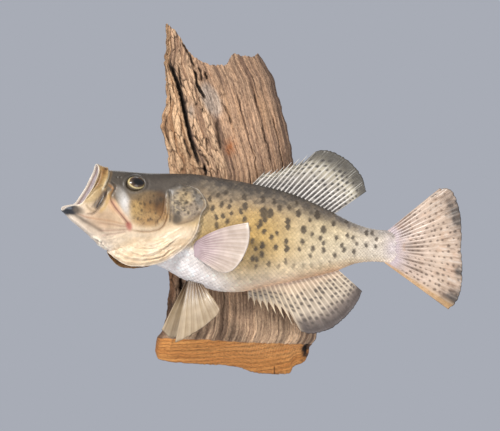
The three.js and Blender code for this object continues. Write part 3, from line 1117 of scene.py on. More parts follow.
    def socket(self, x: Array, z: Array) -> Array:
        """Sink the skin under the eye and raise a soft rim round it.

        Args:
            x: The points' x.
            z: The points' z.

        Returns:
            Heights in millimetres.
        """
        ring = np.hypot((x - self.eye[0]) / 8.5, (z - self.eye[1]) / 6.6)
        pit = -2.6 * fall(0.86, 1.0, ring)
        rim = 0.5 * bell(ring - 1.14, 0.09)
        moat = -0.35 * bell(ring - 1.4, 0.14)
        return pit + rim + moat


@dataclass(frozen=True)
class Markings:
    """The painted marks of the body, shared by the skin and the scales over it."""

    front: Ramp = Ramp((
        (0, "45403a"), (0.06, "554d45"), (0.11, "786b5b"), (0.17, "a38d70"), (0.26, "bea27a"),
        (0.42, "c7a975"), (0.58, "cfae72"), (0.72, "dcbd88"), (0.84, "f2d8b2"), (0.93, "ffe7ca"),
        (1, "ffdcb6"),
    ))
    rear: Ramp = Ramp((
        (0, "48423c"), (0.08, "625950"), (0.16, "9b8b72"), (0.27, "cab58f"), (0.5, "dac7a3"),
        (0.8, "e3cfae"), (0.93, "dfc294"), (1, "cda36c"),
    ))
    head: Ramp = Ramp((
        (0, "3f3a34"), (0.12, "494239"), (0.24, "625749"), (0.34, "8c7a62"), (0.46, "c0a279"),
        (0.62, "e0c49f"), (0.8, "eed7ba"), (1, "f3e1cc"),
    ))
    spot: str = "463a2c"
    head_marks: tuple[Patch | Stroke, ...] = (
        # snout, brow and the dark field behind the eye
        Patch((-102, 14), (9, 13), 0, "544c42", 0.75),
        Patch((-67, 13), (19, 7.5), -6, "544b42", 0.85),
        Patch((-47, 14), (14, 6), 0, "5b5248", 0.7),
        # the silvery patch before the cheek: its own pale colour with a painted sheen
        Patch((-95.6, -2.8), (4.6, 12), 24, "e1dcd6", 0.9, 0.6),
        Patch((-101, 5), (4.5, 7), 15, "8d8172", 0.5),
        # the brown cheek
        Patch((-73.5, -8.6), (18, 14), -8, "b18c54", 0.92, 0.35),
        Patch((-85.5, -11), (6, 9), 0, "bf9c60", 0.6),
        Patch((-70, -4.3), (10, 9), 0, "7c5529", 0.65),
        Patch((-63.9, -2.2), (6, 9), 0, "56381a", 0.9),
        Patch((-62, -12), (4.5, 7), 10, "8b5f2d", 0.6),
        Patch((-76.2, -19.5), (11, 4.5), 0, "b98a4d", 0.55),
        Patch((-76, 2), (15, 4), -6, "6b5a44", 0.55),
        # the golden upper lip and its folds
        Patch((-118, 17.5), (8, 17), -22, "a5814d", 0.95, 0.3),
        Stroke((-115.6, 28.5, -117.4, 22, -119.4, 16.6, -122.6, 11), 2.6, "a07440", 0.95),
        Stroke((-113.6, 28.4, -114.8, 22.4), 1.8, "6e4a24", 0.7),
        Stroke((-118.9, 30, -119.6, 22, -122.6, 13.4, -124.9, 9.3), 0.6, "4b3620", 0.85),
        Stroke(
            (
                -120.3, 31.8, -121, 24, -124, 17, -127, 9.4, -130, 6.4, -135, 3, -137, -2.6,
                -142, -8.4,
            ),
            2.1, "f0e0c6", 0.95,
        ),
        Stroke((-112, 22, -114.6, 14, -121.8, 7.1, -129, 0.6, -132.4, -2.6), 1.6, "bf9f6a", 0.9),
        Patch((-124.6, 3), (8, 4.6), 38, "c9ac7d", 0.85, 0.3),
        # raised rear edge of the lip: cream rim with a painted highlight, then a dark line of
        # painted shade
        Stroke((-110.5, 28.4, -109.9, 22, -112.4, 14.8, -116.5, 7.1), 0.9, "f0e0bf", 0.9),
        Stroke((-108.9, 28, -108.4, 21.6, -110.8, 14), 0.7, "4d3d2a", 0.8),
        # loose skin and the pink crease that ends at the corner of the mouth
        Stroke((-110.2, 14.2, -106, 9.4, -108, 5, -108.6, 0), 1.1, "a8743c", 0.75),
        Stroke((-106, 15, -102.6, 11, -104.6, 5, -105, -2), 0.8, "6b5236", 0.6),
        Patch((-111, -9), (10, 8), -25, "e8cda8", 0.7),
        Patch((-107, -5), (4, 8), 28, "dca878", 0.55),
        Stroke(MOUTH_CREASE, 2.4, "dba590", 0.5),
        Stroke(MOUTH_CREASE, 0.6, "8d4d3d", 0.7),
        Patch((-91.6, -23.6), (2.8, 4.2), 20, "b4564a", 0.75),
        # the lower jaw and its dark tip
        Patch((-121, -24), (20, 7), -34, "dcc2a6", 0.6),
        Stroke(JAW_EDGE, 0.7, "b98a72", 0.7),
        Stroke(JAW_LINE_1, 0.6, "c79383", 0.65),
        Stroke(JAW_LINE_2, 0.6, "c79383", 0.6),
        Stroke(JAW_LINE_3, 0.6, "cda08f", 0.55),
        # painted shade along the lower edge of the jaw, from the lip tip back along it
        Stroke(
            (-152, -12.8, -141.1, -12.6, -131.1, -18.6, -121, -24.6, -112, -30),
            1.9, "5d5046", 0.75,
        ),
        Patch((-146, -8.4), (11, 4.8), -6, "27292e", 1.0, 0.2),
        # painted highlight along the top of the dark lip tip
        Stroke((-153, -7.6, -147.3, -7, -142, -7.6), 0.9, "8b93a0", 0.6),
        Patch((-136, -9.6), (5, 3.4), -20, "7d6c5a", 0.7),
        Patch((-114, -17), (15, 9), -20, "c19c78", 0.7),
        # creases round the cheek: painted shade along their grooves, painted highlights on the
        # ridges beside the plate groove
        Stroke(CHEEK_EDGE, 0.8, "a06f3a", 0.65),
        Stroke(CHEEK_CREASE, 0.9, "7a5227", 0.6),
        Stroke(PLATE_GROOVE, 0.8, "453b31", 0.85),
        Stroke((-57.4, 7, -57.6, -3, -57.4, -14), 0.55, "c9b79c", 0.6),
        Stroke((-53, 5, -52.6, -4, -52.8, -13.2), 0.6, "cfc3b0", 0.6),
        # the hollows under it, darkened with painted shade
        Stroke((-111.9, 9, -116.6, 0.6, -121.6, -8.6), 3.0, "4d3d32", 1.0),
        Stroke((-112.8, 5.4, -117, -1.6, -120.8, -8.2), 0.9, "33271f", 1.0),
        Stroke((-116, 5, -120, -2, -123.6, -8), 0.7, "4f4032", 0.7),
        Stroke((-114.4, 6, -118.4, -1.2, -122.2, -8), 0.6, "b79c80", 0.7),
        Stroke((-130.6, -3.4, -126, -9, -121, -11), 1.0, "a58a68", 0.7),
        Stroke((-108.6, 8, -109.6, 2, -112.5, -5, -118, -12), 1.4, "c9a468", 0.8),
        Stroke((-116.6, 30, -117.6, 24, -119.4, 18, -122, 12.4), 0.6, "d0a868", 0.6),
        Stroke((-112.4, 27.6, -113.4, 26.4), 1.1, "4b2a16", 0.8),
        # the spotted plate of the gill cover
        Patch((-39, -4.5), (16, 14.5), 14, "968470", 0.95, 0.3),
        Patch((-43.4, 1.6), (8, 8), 20, "b99f74", 0.75, 0.5),
        Patch((-38, -8), (9, 5), 24, "ad9a83", 0.65, 0.5),
        Patch((-50.6, -4), (3.4, 14), 0, "72675a", 0.6, 0.5),
        Patch((-30, 1), (4.5, 8), 35, "7f7a72", 0.7),
        Patch((-41, 10), (11, 3), -6, "5d554b", 0.6),
        Patch((-49.4, -17.6), (4.4, 4.6), 0, "3f3529", 0.85),
        Stroke((-50, -22, -36.5, -18, -28, -12), 1.3, "92785a", 0.6),
        Stroke((-56, 11.6, -48.4, 12.9, -37.6, 10.6, -27, 4), 1.2, "4b443c", 0.6),
    )
    cheek_dots: tuple[Triple, ...] = (
        (-80.6, -9.5, 1.1), (-84, -17.1, 0.9), (-74.8, -18, 1.1), (-72.9, -2.6, 1.3),
        (-63.4, 0.4, 1.7), (-77.8, -4, 1.1), (-68, -12, 1.2), (-82, -3, 1.2), (-70, 4, 1.2),
        (-41.5, 5.1, 1.3), (-40.7, -2, 1.5), (-49, 6.4, 1.2), (-36.8, -4.3, 1.4), (-45.6, 0.4, 1.1),
        (-44, -7.4, 1.5), (-34.4, 3, 1.1), (-39, -11.5, 1.2), (-48.6, -4, 1.2), (-31.4, -8.4, 1.1),
        (-47.4, -12, 1.3), (-33.6, -1.2, 1.0), (-43, 9, 1.0), (-51, 2.4, 0.9),
    )
    gill_edge: Curve = Curve((
        (-60, -75), (-53.1, -54), (-39.2, -37.8), (-29.7, -31.5), (-19.8, -28.5), (-11.7, -26.1),
        (-3.6, -21.6), (8, -28),
    ))
    body_spots: tuple[Triple, ...] = (
        (-5, 6.2, 1.5), (11.2, 2.6, 2), (-9.1, -4, 1.9), (-2.5, -5.9, 1.7), (-0.5, -12.1, 1.5),
        (11.7, -5.9, 2.4), (8.1, -10, 1.8), (11.2, -17.1, 1.7), (-8.1, -14.6, 1.7),
        (-14.1, -15.6, 1.8), (-4, -19.2, 1.6), (-13.7, -23.2, 1.7), (-17.2, -7.5, 1.8),
        (-20.2, 1.1, 1.6), (-12.6, 4.1, 1.4), (-1, -0.9, 1.2), (28.4, -11.1, 3.2),
        (34.5, -12.1, 2.9), (29.4, -17.1, 2.4), (25.8, -20.7, 2.2), (23.3, -24.2, 1.6),
        (28.9, -28.3, 1.9), (27.9, 0.1, 1.9), (42.6, -7.5, 2.1), (50.1, -19.2, 2.3),
        (50.1, -23.7, 1.9), (40.5, -30.2, 1.5), (35.5, -33.3, 1.8), (48.6, -36.9, 1.9),
        (39.1, -42.5, 1.9), (49.1, -43.9, 2.3), (27.4, -41, 2.2), (26.8, -48.5, 1.8),
        (18.3, -36.4, 1.5), (21.3, -43.5, 1.4), (18.7, -52.6, 1.9), (22.3, -53.6, 1.6),
        (7.7, -53.1, 1.5), (0, -61.2, 1.3), (21.3, -60.1, 1.4), (32.9, -57.6, 1.6),
        (41.6, -59.7, 1.4), (48.2, -55.6, 1.4), (55.3, -59.7, 1.3), (59.8, -12.1, 2.1),
        (51.7, -7, 1.9), (64.3, -26.4, 2.6), (63.2, -37.5, 1.9), (76.5, -13.7, 2.6),
        (82.1, -26.4, 2.4), (79.3, -34.2, 1.7), (82.1, -38.6, 1.6), (72.6, -43.6, 1.8),
        (82.1, -44.7, 1.8), (92.1, -49.7, 1.6), (98.7, -40.9, 1.5), (100.3, -44.2, 1.5),
        (90.9, -22, 1.6), (103.7, -32, 1.5), (108.7, -34.2, 1.4), (109.3, -46.3, 1.4),
        (120.9, -29.7, 1.7), (125.9, -29.7, 1.6), (120.3, -40.9, 1.4), (129.8, -35.3, 1.4),
        (128.7, -41.9, 1.3), (64.3, -59.7, 1.4), (71.6, -58.6, 1.3), (79.8, -58.6, 1.3),
        (54.9, -60.3, 1.3), (48.2, -54.7, 1.2), (72, -30.9, 1.4), (69.8, -17.5, 1.5),
        (103.1, -19.7, 1.3), (93.6, -34.2, 1.3), (60.3, -44.1, 1.4), (16, -26, 1.2),
        (70, -50, 1.2), (88, -56, 1.1), (112, -39, 1.2), (58, -3, 1.4), (38, -1.5, 1.4),
    )

    def body(self, share: Array, down: Array, x: Array, z: Array) -> Array:
        """Give the ground colour that shades from back to belly.

        Args:
            share: Share of the length.
            down: Share of the way from back to belly.
            x: Where the points show from the side.
            z: Their height.

        Returns:
            Linear colours.
        """
        drift = down + 0.03 * cloudy(x / 9, z / 9, 3)
        ground = blend(self.front(drift), self.rear(drift), ease(0.5, 0.82, share))
        yellow = bell(np.hypot((x - 22) / 1.15, (z + 30) / 1.35), 24) * 0.75
        silver = bell(np.hypot((x - 128) / 1.2, (z + 42) * 0.8), 20) * 0.65
        pink = bell(z - FORM.belly(x), 6) * ease(0, 20, x) * fall(92, 110, x)
        return coated(
            ground,
            ("cba45a", yellow * ease(0.14, 0.28, drift)),
            ("dfd3c6", silver),
            ("d6c9cd", 0.8 * bell(np.hypot(x - 144, (z + 43) * 0.6), 8)),
            ("efbf9f", 0.5 * pink),
        )

    def spots(self, x: Array, z: Array, side: Array) -> Array:
        """Give how dark the spots are at each point, on either flank.

        Args:
            x: Where the points show from the side.
            z: Their height.
            side: Above 0 on the flank to the room, below 0 on the other.

        Returns:
            Darkness between 0 and 1.
        """
        shift = np.where(side > 0, 0.0, 5.5)
        wave = 1.2 * cloudy(x / 1.7, z / 1.7, 2)
        dark = np.zeros(np.broadcast(x, z).shape)
        for sx, sz, size in self.body_spots:
            far = np.hypot((x - sx - shift) * 1.2, (z - sz + 0.3 * shift) * 0.8)
            dark = np.maximum(dark, fall(1.15 * size - 0.8, 1.15 * size + 1.3, far + wave))
        faint = ease(0.35, 0.8, cloudy(x / 4.6 + 31, z / 6.2, 2)) * 0.45
        return unit(dark * 0.88 + faint * (1 - dark))

    def __call__(self, x: Array, z: Array, straight: Array, side: Array) -> Array:
        """Paint points of the outer surface.

        Args:
            x: Where the points show from the side.
            z: Their height.
            straight: Their x along the straight fish.
            side: Above 0 on the flank to the room, below 0 on the other.

        Returns:
            Linear colours.
        """
        share, down = FORM.locate(straight, z)
        colour = self.body(share, down, x, z)
        flank = ease(-34, -22, x)
        dark = self.spots(x, z, side) * flank
        rows = cloudy(x / 3.4, z / 2.8, 2)
        back = unit(0.3 + 1.1 * rows) * bell(down - 0.14, 0.08) * 0.75
        light = unit(0.1 - 1.2 * rows) * bell(down - 0.1, 0.08) * 0.6
        belly = 1 - 0.75 * ease(0.72, 0.9, down)
        marks = ("453c34", back * flank), ("a08c70", light * flank), (self.spot, dark * belly)
        colour = coated(colour, *marks)
        behind = ease(0.6, 2.2, x - self.gill_edge(z)) * fall(4, 12, z) * ease(-66, -60, z)
        head = fall(-46, -26, x + 0.25 * (z + 20)) * (1 - behind)
        face = self.head(down + 0.02 * cloudy(x / 7, z / 7, 3))
        colour = blend(colour, face, head)
        near = x < -18
        if near.any():
            painted = self.paint_head(colour[near], x[near], z[near])
            # behind the gill cover's edge the body is a little darker: painted shade under the
            # cover
            colour[near] = blend(painted, colour[near] * 0.92, behind[near])
        under = np.maximum(ease(1, -4, z + 39.2 - 0.61 * (x + 37.8)), behind) * ease(-112, -104, x)
        breast = under * fall(-34, 4, x + 0.5 * (z + 60)) * fall(-48, -37, z)
        colour = blend(colour, "fdf3ee", 0.95 * breast)
        fleck = cloudy(x / 1.1, z / 1.1, 2) * (0.26 - 0.12 * ease(0.3, 0.6, down))
        return unit(colour * (1 + fleck[..., None]))

    def paint_head(self, colour: Array, x: Array, z: Array) -> Array:
        """Lay the head's patches, strokes and dots over its ground colour, with painted shade and
        highlights on its folds.

        Args:
            colour: The ground colours.
            x: Where the points show from the side.
            z: Their height.

        Returns:
            Linear colours.
        """
        wander = 0.7 * cloudy(x / 4, z / 4, 3)
        membrane = RELIEF.membrane(x, z, -32)
        warm = membrane * unit(0.5 + cloudy(x / 9, z / 4, 3))
        colour = coated(colour, ("eed8ba", 0.85 * membrane), ("dfbb8c", 0.55 * warm))
        for mark in self.head_marks:
            colour = blend(colour, mark.colour, mark.cover(x + wander, z - wander))
        for dot_x, dot_z, size in self.cheek_dots:
            far = np.hypot((x - dot_x) * 1.2, z - dot_z) + 1.3 * wander
            colour = blend(colour, "42331f", 0.75 * fall(size - 0.7, size + 0.9, far))
        cheek = fall(0.8, 1.15, np.hypot((x + 73) / 19, (z + 8) / 16))
        plate = fall(0.8, 1.15, np.hypot((x + 39) / 16, (z + 3) / 14))
        grit = ease(0.05, 0.55, cloudy(x / 1.05 + 7, z / 1.2, 2))
        blotch = ease(0.02, 0.4, cloudy(x / 2.7 + 3, z / 3.1, 3))
        colour = coated(
            colour,
            ("46341e", cheek * (0.55 * grit + 0.34 * blotch)),
            ("3d3428", plate * (0.4 * grit + 0.6 * blotch)),
            ("dcc49a", plate * 0.5 * ease(0.1, 0.5, -cloudy(x / 2.2, z / 2.2, 3))),
        )
        # painted shade in the grooves and painted highlights on the ridges of the folds and the
        # throat
        line = np.clip(RELIEF.lines(x, z), -1.2, 1.2)[..., None]
        crinkle = RELIEF.crinkle(x, z)[..., None]
        return colour * np.clip(1 + 0.3 * line + 0.5 * crinkle, 0.3, 1.3)


MOTTLE = Mottle(7)
cloudy = MOTTLE.layered
RELIEF = HeadRelief()
MARKINGS = Markings()


# ---- skin


@dataclass(frozen=True)
class Skin:
    """The whole skin: the outer surface, the lips, the mouth's lining and both gill covers."""

    nodes: tuple[str, ...] = (
        "head", "upper_jaw", "lower_jaw", "gill_cover_left", "gill_cover_right", "trunk", "tail",
    )
    around: int = 256
    head_rows: int = 140
    head_ends: float = 0.31
    body_ends: float = 0.9965
    tail_end: tuple[Pair, ...] = ((0.998, -1.2), (0.999, -2.4), (0.9995, -3.6))
    body_rows: int = 44
    lip_wall: float = 2.4
    mouth_wall: Curve = Curve(((0, 2.4), (0.05, 3.6), (0.12, 8.5), (0.16, 13.5)))
    # the lining darkens towards the throat: painted shade deep in the mouth
    lining: Ramp = Ramp((
        (0, "f3e6d6"), (0.05, "f3e4d4"), (0.085, "b49a92"), (0.12, "ecdfe2"), (0.3, "f6edf0"),
        (0.5, "ecdcd6"), (0.7, "b58272"), (1, "4a261e"),
    ))

    def rows(self) -> tuple[Array, Array, Array]:
        """List the sections from the throat, over the lips and along the body.

        Returns:
            Each row's share of the length, its offset, and 1 outside or 0 in the mouth.
        """
        r = self.lip_wall / 2
        inner = r / FORM.length + 0.001 + 0.12 * np.linspace(1, 0, 24) ** 1.7
        roll = np.linspace(-math.pi / 2, math.pi / 2, 13)
        head = np.linspace(r / FORM.length, self.head_ends, self.head_rows)[1:]
        trunk = np.linspace(self.head_ends, self.body_ends, self.body_rows)[1:]
        close, sunk = np.array(self.tail_end).T
        share = np.concatenate([inner, r * (1 - np.cos(roll)) / FORM.length, head, trunk, close])
        grow = np.concatenate([
            0.35 - self.mouth_wall(inner),
            -r + (r - 0.4) * np.sin(roll),
            np.full(len(head) + len(trunk), -FORM.coat),
            sunk,
        ])
        outer = np.concatenate([
            np.zeros(len(inner)), ease(-0.2, 1.2, roll),
            np.ones(len(head) + len(trunk) + len(close)),
        ])
        return share, grow, outer

    def hide(self) -> BMesh:
        """Build the outer surface, lips and lining as one tube.

        Returns:
            The tube as a bmesh.
        """
        share, grow, outer = self.rows()
        turn = np.linspace(0, 2 * math.pi, self.around + 1)
        x, out, z = FORM.flesh(share[:, None], turn[None, :], grow[:, None])
        points = FORM.bend(x, out, z)
        points[:, -1] = points[:, 0]
        normal = normals_of(np.concatenate([points[:, -3:-1], points, points[:, 1:3]], 1))[:, 2:-2]
        normal[:, -1] = normal[:, 0]
        outward = FORM.bend(x, out * 1.01, z) - FORM.bend(x, out * 0.99, z)
        flip = np.sign(np.sum(normal * outward, axis=(1, 2), keepdims=True))
        normal = normal * flip
        shown = FORM.shown(x, out)
        relief = RELIEF(shown, z) * outer[:, None]
        relief += self.pleats(share, turn) * (1 - outer[:, None])
        points = points + normal * relief[..., None]
        side = np.sign(np.sin(turn))[None, :] + 0 * x
        colour = MARKINGS(shown, z, x, side)
        deep = unit(share / 0.12)[:, None] + 0 * x
        colour = blend(self.lining(deep), colour, outer[:, None] + 0 * x)
        return sheet(points, colour)

    def pleats(self, share: Array, turn: Array) -> Array:
        """Give the soft folds that run down into the throat."""
        deep = ease(0.01, 0.07, share)[:, None]
        return deep * (0.5 * np.sin(turn * 9) + 0.35 * np.sin(turn * 17 + 1))[None, :]

    def build(self) -> bpy.types.Object:
        """Join the hide and the gill covers into one piece.

        Returns:
            The piece.
        """
        covers = [closed(GillCover(side).shell()) for side in Side]
        data = meshed("fish_skin", joined(closed(self.hide()), *covers))
        finish = PaintedFinish("fish_skin", roughness=0.5, lacquer=0.16, grain=1500.0, relief=0.3)
        return piece(data, finish.material(), self.nodes)


@dataclass(frozen=True)
class GillCover:
    """A flared gill cover: a thin shell from under the cheek to its free, wavy edge."""

    side: Side
    along: int = 230
    across: int = 52
    start: float = -0.4
    droop: float = 3.0
    crown: float = 1.4
    hinge: tuple[Triple, ...] = (
        (-48.6, 14.9, 19.2), (-53.6, 9, 20.6), (-54.5, -6.3, 22.2), (-54.9, -21.6, 22.4),
        (-66.6, -32.4, 20), (-82.8, -38.7, 16), (-97, -39.6, 10.5), (-107, -42, 3.5),
    )
    edge: tuple[Triple, ...] = (
        (-44.1, 14, 20.2), (-34.2, 11.3, 21.4), (-28.4, 8.1, 22.6), (-21.6, -3.6, 24.6),
        (-26.1, -11.7, 25.6), (-28.5, -19.8, 26.4), (-31.5, -29.7, 26.4), (-37.8, -39.2, 25.2),
        (-54, -53.1, 21.5), (-69.3, -58.5, 18), (-82.8, -59.9, 15.4), (-93.6, -59.2, 12.4),
        (-103.4, -53.4, 7.6), (-111.5, -46.6, 2.2),
    )

    def shell(self) -> BMesh:
        """Build the cover: its outer face, round the free edge and back along its inner face.

        Returns:
            The cover as a bmesh.
        """
        run = np.linspace(0, 1, self.along + 1)
        hinge, edge = path(self.hinge, run), path(self.edge, run)
        fold, back = 5, self.across // 4
        lead = self.start - 1.1 * ease(0.6, 1, run)[:, None]
        reach = np.concatenate([np.linspace(0, 1, self.across), np.ones(fold)])[None, :]
        reach = np.concatenate([
            lead + (1 - lead) * reach, np.broadcast_to(np.linspace(1, 0.05, back), (len(run), back))
        ], axis=1)
        inner = np.concatenate([
            np.zeros(self.across), np.linspace(0, 1, fold + 2)[1:-1], np.ones(back)
        ])[None, :]
        ends = np.minimum(1, np.minimum(run, 1 - run) / 0.05) ** 0.5
        frill = 0.5 * MOTTLE(run * 42, 3.7) + 0.3 * MOTTLE(run * 95, 8.1)
        t = reach * (0.97 + (0.03 * frill + 0.012 * MOTTLE(run * 13, 4.2))[:, None])
        p = hinge[:, None, :] * (1 - t[..., None]) + edge[:, None, :] * t[..., None]
        shown, z, out = p[..., 0], p[..., 1], p[..., 2]
        plate = out + self.crown * np.sin(math.pi * unit(t)) - 0.2
        if self.side is Side.RIGHT:
            z = z - self.droop * np.sin(math.pi * run)[:, None] * unit(t)
        x = FORM.straight(shown, out)
        rise = ease(0.08, 0.95, (t - lead) / (0.45 - lead))
        low = FORM.flank(x, z) - FORM.coat - 1.0 + 0.6 * ease(0, 0.3, t - lead)
        surface = low * (1 - rise) + plate * rise
        wave = (0.8 * MOTTLE(run * 24, 1.3) + 0.4 * MOTTLE(run * 60, 5.3))[:, None]
        relief = RELIEF(shown, z) * (1 - inner)
        thick = (1.3 - 0.5 * unit(t)) * ends[:, None]
        bulge = 0.25 * np.sin(math.pi * inner)
        surface = surface + relief + wave * unit(t) ** 4
        surface = surface - 0.4 * ease(0.97, 1, t) - thick * inner
        surface = surface - (1 - ends[:, None]) * 1.6
        points = FORM.bend(x + bulge, self.side.value * surface, z)
        colour = MARKINGS(shown, z, x, np.full(x.shape, float(self.side.value)))
        lines = 0.5 + 0.5 * np.sin(t * 40 + 3 * MOTTLE(run * 9, 2.2)[:, None])
        low_half = ease(-14, -24, z + 0.3 * (shown + 40)) * ease(0.25, 0.7, t)
        brown = bell(t - 0.9, 0.02) * ease(0.05, 0.2, run[:, None])
        inside = blend("a47a48", "6b4a2a", 0.5 + 0.5 * MOTTLE(shown / 5, z / 5))
        colour = coated(
            colour,
            ("d3b188", 0.3 * low_half * lines**3),
            ("8b7355", 0.55 * brown),
            ("f6ecdc", 0.85 * ease(0.93, 0.99, t)),
            (inside, np.broadcast_to(inner, t.shape)),
        )
        return sheet(points, colour)


# ---- scales


@dataclass(frozen=True)
class Scales:
    """Rows of overlapping scales over the trunk and tail on one side."""

    side: Side
    pitch_x: Curve = Curve(((0.25, 3.3), (0.45, 3.5), (0.7, 3.3), (0.9, 2.9), (1, 2.6)))
    pitch_v: Curve = Curve(((0.25, 2.1), (0.45, 2.25), (0.7, 2.0), (0.9, 1.75), (1, 1.6)))
    line: Curve = Curve(((0.25, 0.36), (0.5, 0.37), (0.75, 0.44), (1, 0.5)))
    lift: float = 0.56
    first: float = 0.262
    rows: tuple[int, int] = (-46, 34)
    stagger: float = 1.65
    cells: int = 6
    root_seed: int = 11
    shade_seed: int = 5

    def girth(self) -> tuple[Array, Array, Array]:
        """Measure round the sections from the line of the row in the middle.

        Returns:
            Shares of the length, turns round the body, and each pair's distance above the row.
        """
        share = np.linspace(0.2, 1, 161)
        turn = np.linspace(0, math.pi, 121)
        x, out, z = FORM.flesh(share[:, None], turn[None, :], -FORM.coat)
        points = FORM.bend(x, self.side.value * out, z)
        run = np.linalg.norm(np.diff(points, axis=1), axis=-1)
        run = np.concatenate([np.zeros((len(share), 1)), np.cumsum(run, axis=1)], axis=1)
        middle = np.arccos(1 - 2 * self.line(share))
        start = np.array([np.interp(m, turn, r) for m, r in zip(middle, run)])
        return share, turn, start[:, None] - run

    def roots(self) -> Array:
        """Set out the scales' roots in staggered rows.

        Returns:
            For each scale, its share of the length and its distance above the middle row.
        """
        found = []
        share, _, above = self.girth()
        rng = np.random.default_rng(self.root_seed + self.side.value)
        for row in range(*self.rows):
            at = self.first + row % 2 * self.stagger / FORM.length
            last = 1.0 + 0.008 * bell(row / 7, 1) + 0.003 * (row % 3)
            while at < last:
                v = row * float(self.pitch_v(at))
                top, low = (np.interp(min(at, 1), share, above[:, k]) for k in (0, -1))
                if low + 0.8 < v < top - 0.8:
                    found.append((at + rng.normal(0, 0.0006), v + rng.normal(0, 0.12)))
                at += float(self.pitch_x(at)) / FORM.length
        return np.array(found)

    def surface(self, share: Array, v: Array) -> tuple[Array, Array]:
        """Find the turn round the body for a distance above the middle row.

        Args:
            share: Shares of the length.
            v: Distances above the middle row.

        Returns:
            The turn at each point, and the share kept inside the measured length.
        """
        rows, turn, above = self.girth()
        share = np.clip(share, rows[0], rows[-1])
        position = (share - rows[0]) / (rows[1] - rows[0])
        i = np.clip(position.astype(int), 0, len(rows) - 2)
        f = position - i
        result = np.zeros(share.shape)
        for k in np.unique(i):
            here = i == k
            low = np.interp(-v[here], -above[k], turn)
            high = np.interp(-v[here], -above[k + 1], turn)
            result[here] = low * (1 - f[here]) + high * f[here]
        return result, share

    def build(self) -> bpy.types.Object:
        """Lay every scale over the skin and join them in one piece.

        Returns:
            The piece.
        """
        along, over = np.linspace(0, 1, self.cells + 1), np.linspace(-1, 1, self.cells + 1)
        a, b = np.meshgrid(along, over, indexing="ij")
        rear = unit((a - 0.45) / 0.55)
        neck = 0.8 + 0.2 * np.sin(a / 0.45 * math.pi / 2)
        half = np.where(a < 0.45, neck, np.sqrt(1 - 0.86 * rear**2))
        rim = (np.abs(b) > 0.99) | (a > 0.99)
        bulge = rear * (1 - b * b) * 0.16
        roots = self.roots()
        px = self.pitch_x(roots[:, 0])[:, None, None]
        pv = self.pitch_v(roots[:, 0])[:, None, None]
        share = roots[:, 0, None, None] + (a * 1.5 - 0.2 + bulge) * px / FORM.length
        v = roots[:, 1, None, None] + b * half * 1.02 * pv
        turn, kept = self.surface(share, v)
        soft = 0.25 + 0.75 * ease(0.265, 0.33, roots[:, 0, None, None])
        height = -0.12 + (self.lift * soft + 0.12) * a**1.3 - 0.2 * b * b * a
        height = np.where(rim, height - 0.35, height) + 0 * share
        x, out, z = FORM.flesh(kept, turn, -FORM.coat + height)
        past = np.maximum(share - kept, 0) * FORM.length
        x, out = x + past, out - 0.12 * past
        points = FORM.bend(x, self.side.value * out, z)
        colour = self.colours((FORM.shown(x, out), z, x), (a, b), soft)
        return self.joined_scales(points, colour, roots)

    def colours(
        self, place: tuple[Array, Array, Array], within: tuple[Array, Array], soft: Array
    ) -> Array:
        """Paint the scales with the body's marks, with a painted highlight at their edges and
        painted shade at their roots.

        Args:
            place: Where the points show, their height, and their x along the straight fish.
            within: Each point's place along its scale and across it.
            soft: How plainly each scale stands out.

        Returns:
            Linear colours.
        """
        (shown, z, x), (a, b) = ([v + 0.35 * (v[:, 4:5, 3:4] - v) for v in place], within)
        colour = MARKINGS(shown, z, x, np.full(x.shape, float(self.side.value)))
        shade = np.random.default_rng(self.shade_seed).normal(1, 0.075, (len(x), 1, 1, 1))
        # edge and pale set a painted highlight along each scale's free edge, stronger towards the
        # tail
        edge = ease(0.66, 0.95, np.maximum(a, np.abs(b) * 0.9)) + 0 * x
        # root sets painted shade at each scale's root, under the edge of the scale before it
        root = fall(0.2, 0.62, a) + 0 * x
        pale = ease(40, 125, place[0]) * 0.3 + 0.22
        colour = blend(colour, np.minimum(colour * 1.35 + 0.03, 1), edge * pale * soft)
        return unit(blend(colour, colour * 0.5, root * 0.8 * soft) * shade)

    def joined_scales(self, points: Array, colour: Array, roots: Array) -> bpy.types.Object:
        """Copy one scale's grid for every root and join the copies.

        Args:
            points: Scale by column by row by x, y and z.
            colour: Their colours.
            roots: The scales' roots.

        Returns:
            The piece.
        """
        count, columns, rows = points.shape[:3]
        bm = bmesh.new()
        bmesh.ops.create_grid(bm, x_segments=columns - 1, y_segments=rows - 1, size=1)
        one = meshed("scale", bm)
        co = np.zeros(len(one.vertices) * 3)
        one.vertices.foreach_get("co", co)
        co = co.reshape(-1, 3)
        i = np.rint((co[:, 0] + 1) / 2 * (columns - 1)).astype(int)
        j = np.rint((co[:, 1] + 1) / 2 * (rows - 1)).astype(int)
        corners = np.zeros(len(one.polygons) * 4, int)
        one.loops.foreach_get("vertex_index", corners)
        if self.side is Side.RIGHT:
            corners = corners.reshape(-1, 4)[:, ::-1].ravel()
        bpy.data.meshes.remove(one)
        faces = (corners[None, :] + np.arange(count)[:, None] * len(co)).reshape(-1, 4)
        mesh = bpy.data.meshes.new(f"scales_{self.side.name.lower()}")
        mesh.from_pydata((points[:, i, j] * MM).reshape(-1, 3), [], faces)
        paint = mesh.color_attributes.new("paint", "FLOAT_COLOR", "POINT")
        rgba = np.concatenate([colour[:, i, j], np.ones((count, len(co), 1))], axis=-1)
        paint.data.foreach_set("color", rgba.ravel())
        uv = mesh.uv_layers.new(name="OFBake")
        turn, _ = self.surface(roots[:, 0], roots[:, 1])
        middle = np.stack([roots[:, 0], 0.5 + self.side.value * turn / (2 * math.pi + 0.05)], -1)
        place = middle[:, None, :] * 0.98 + 0.01 + 0.0015 * co[None, :, :2]
        uv.data.foreach_set("uv", place[:, corners].ravel())
        finish = PaintedFinish(mesh.name, roughness=0.44, lacquer=0.2, grain=1800.0, relief=0.15)
        return piece(mesh, finish.material())


# ---- eyes


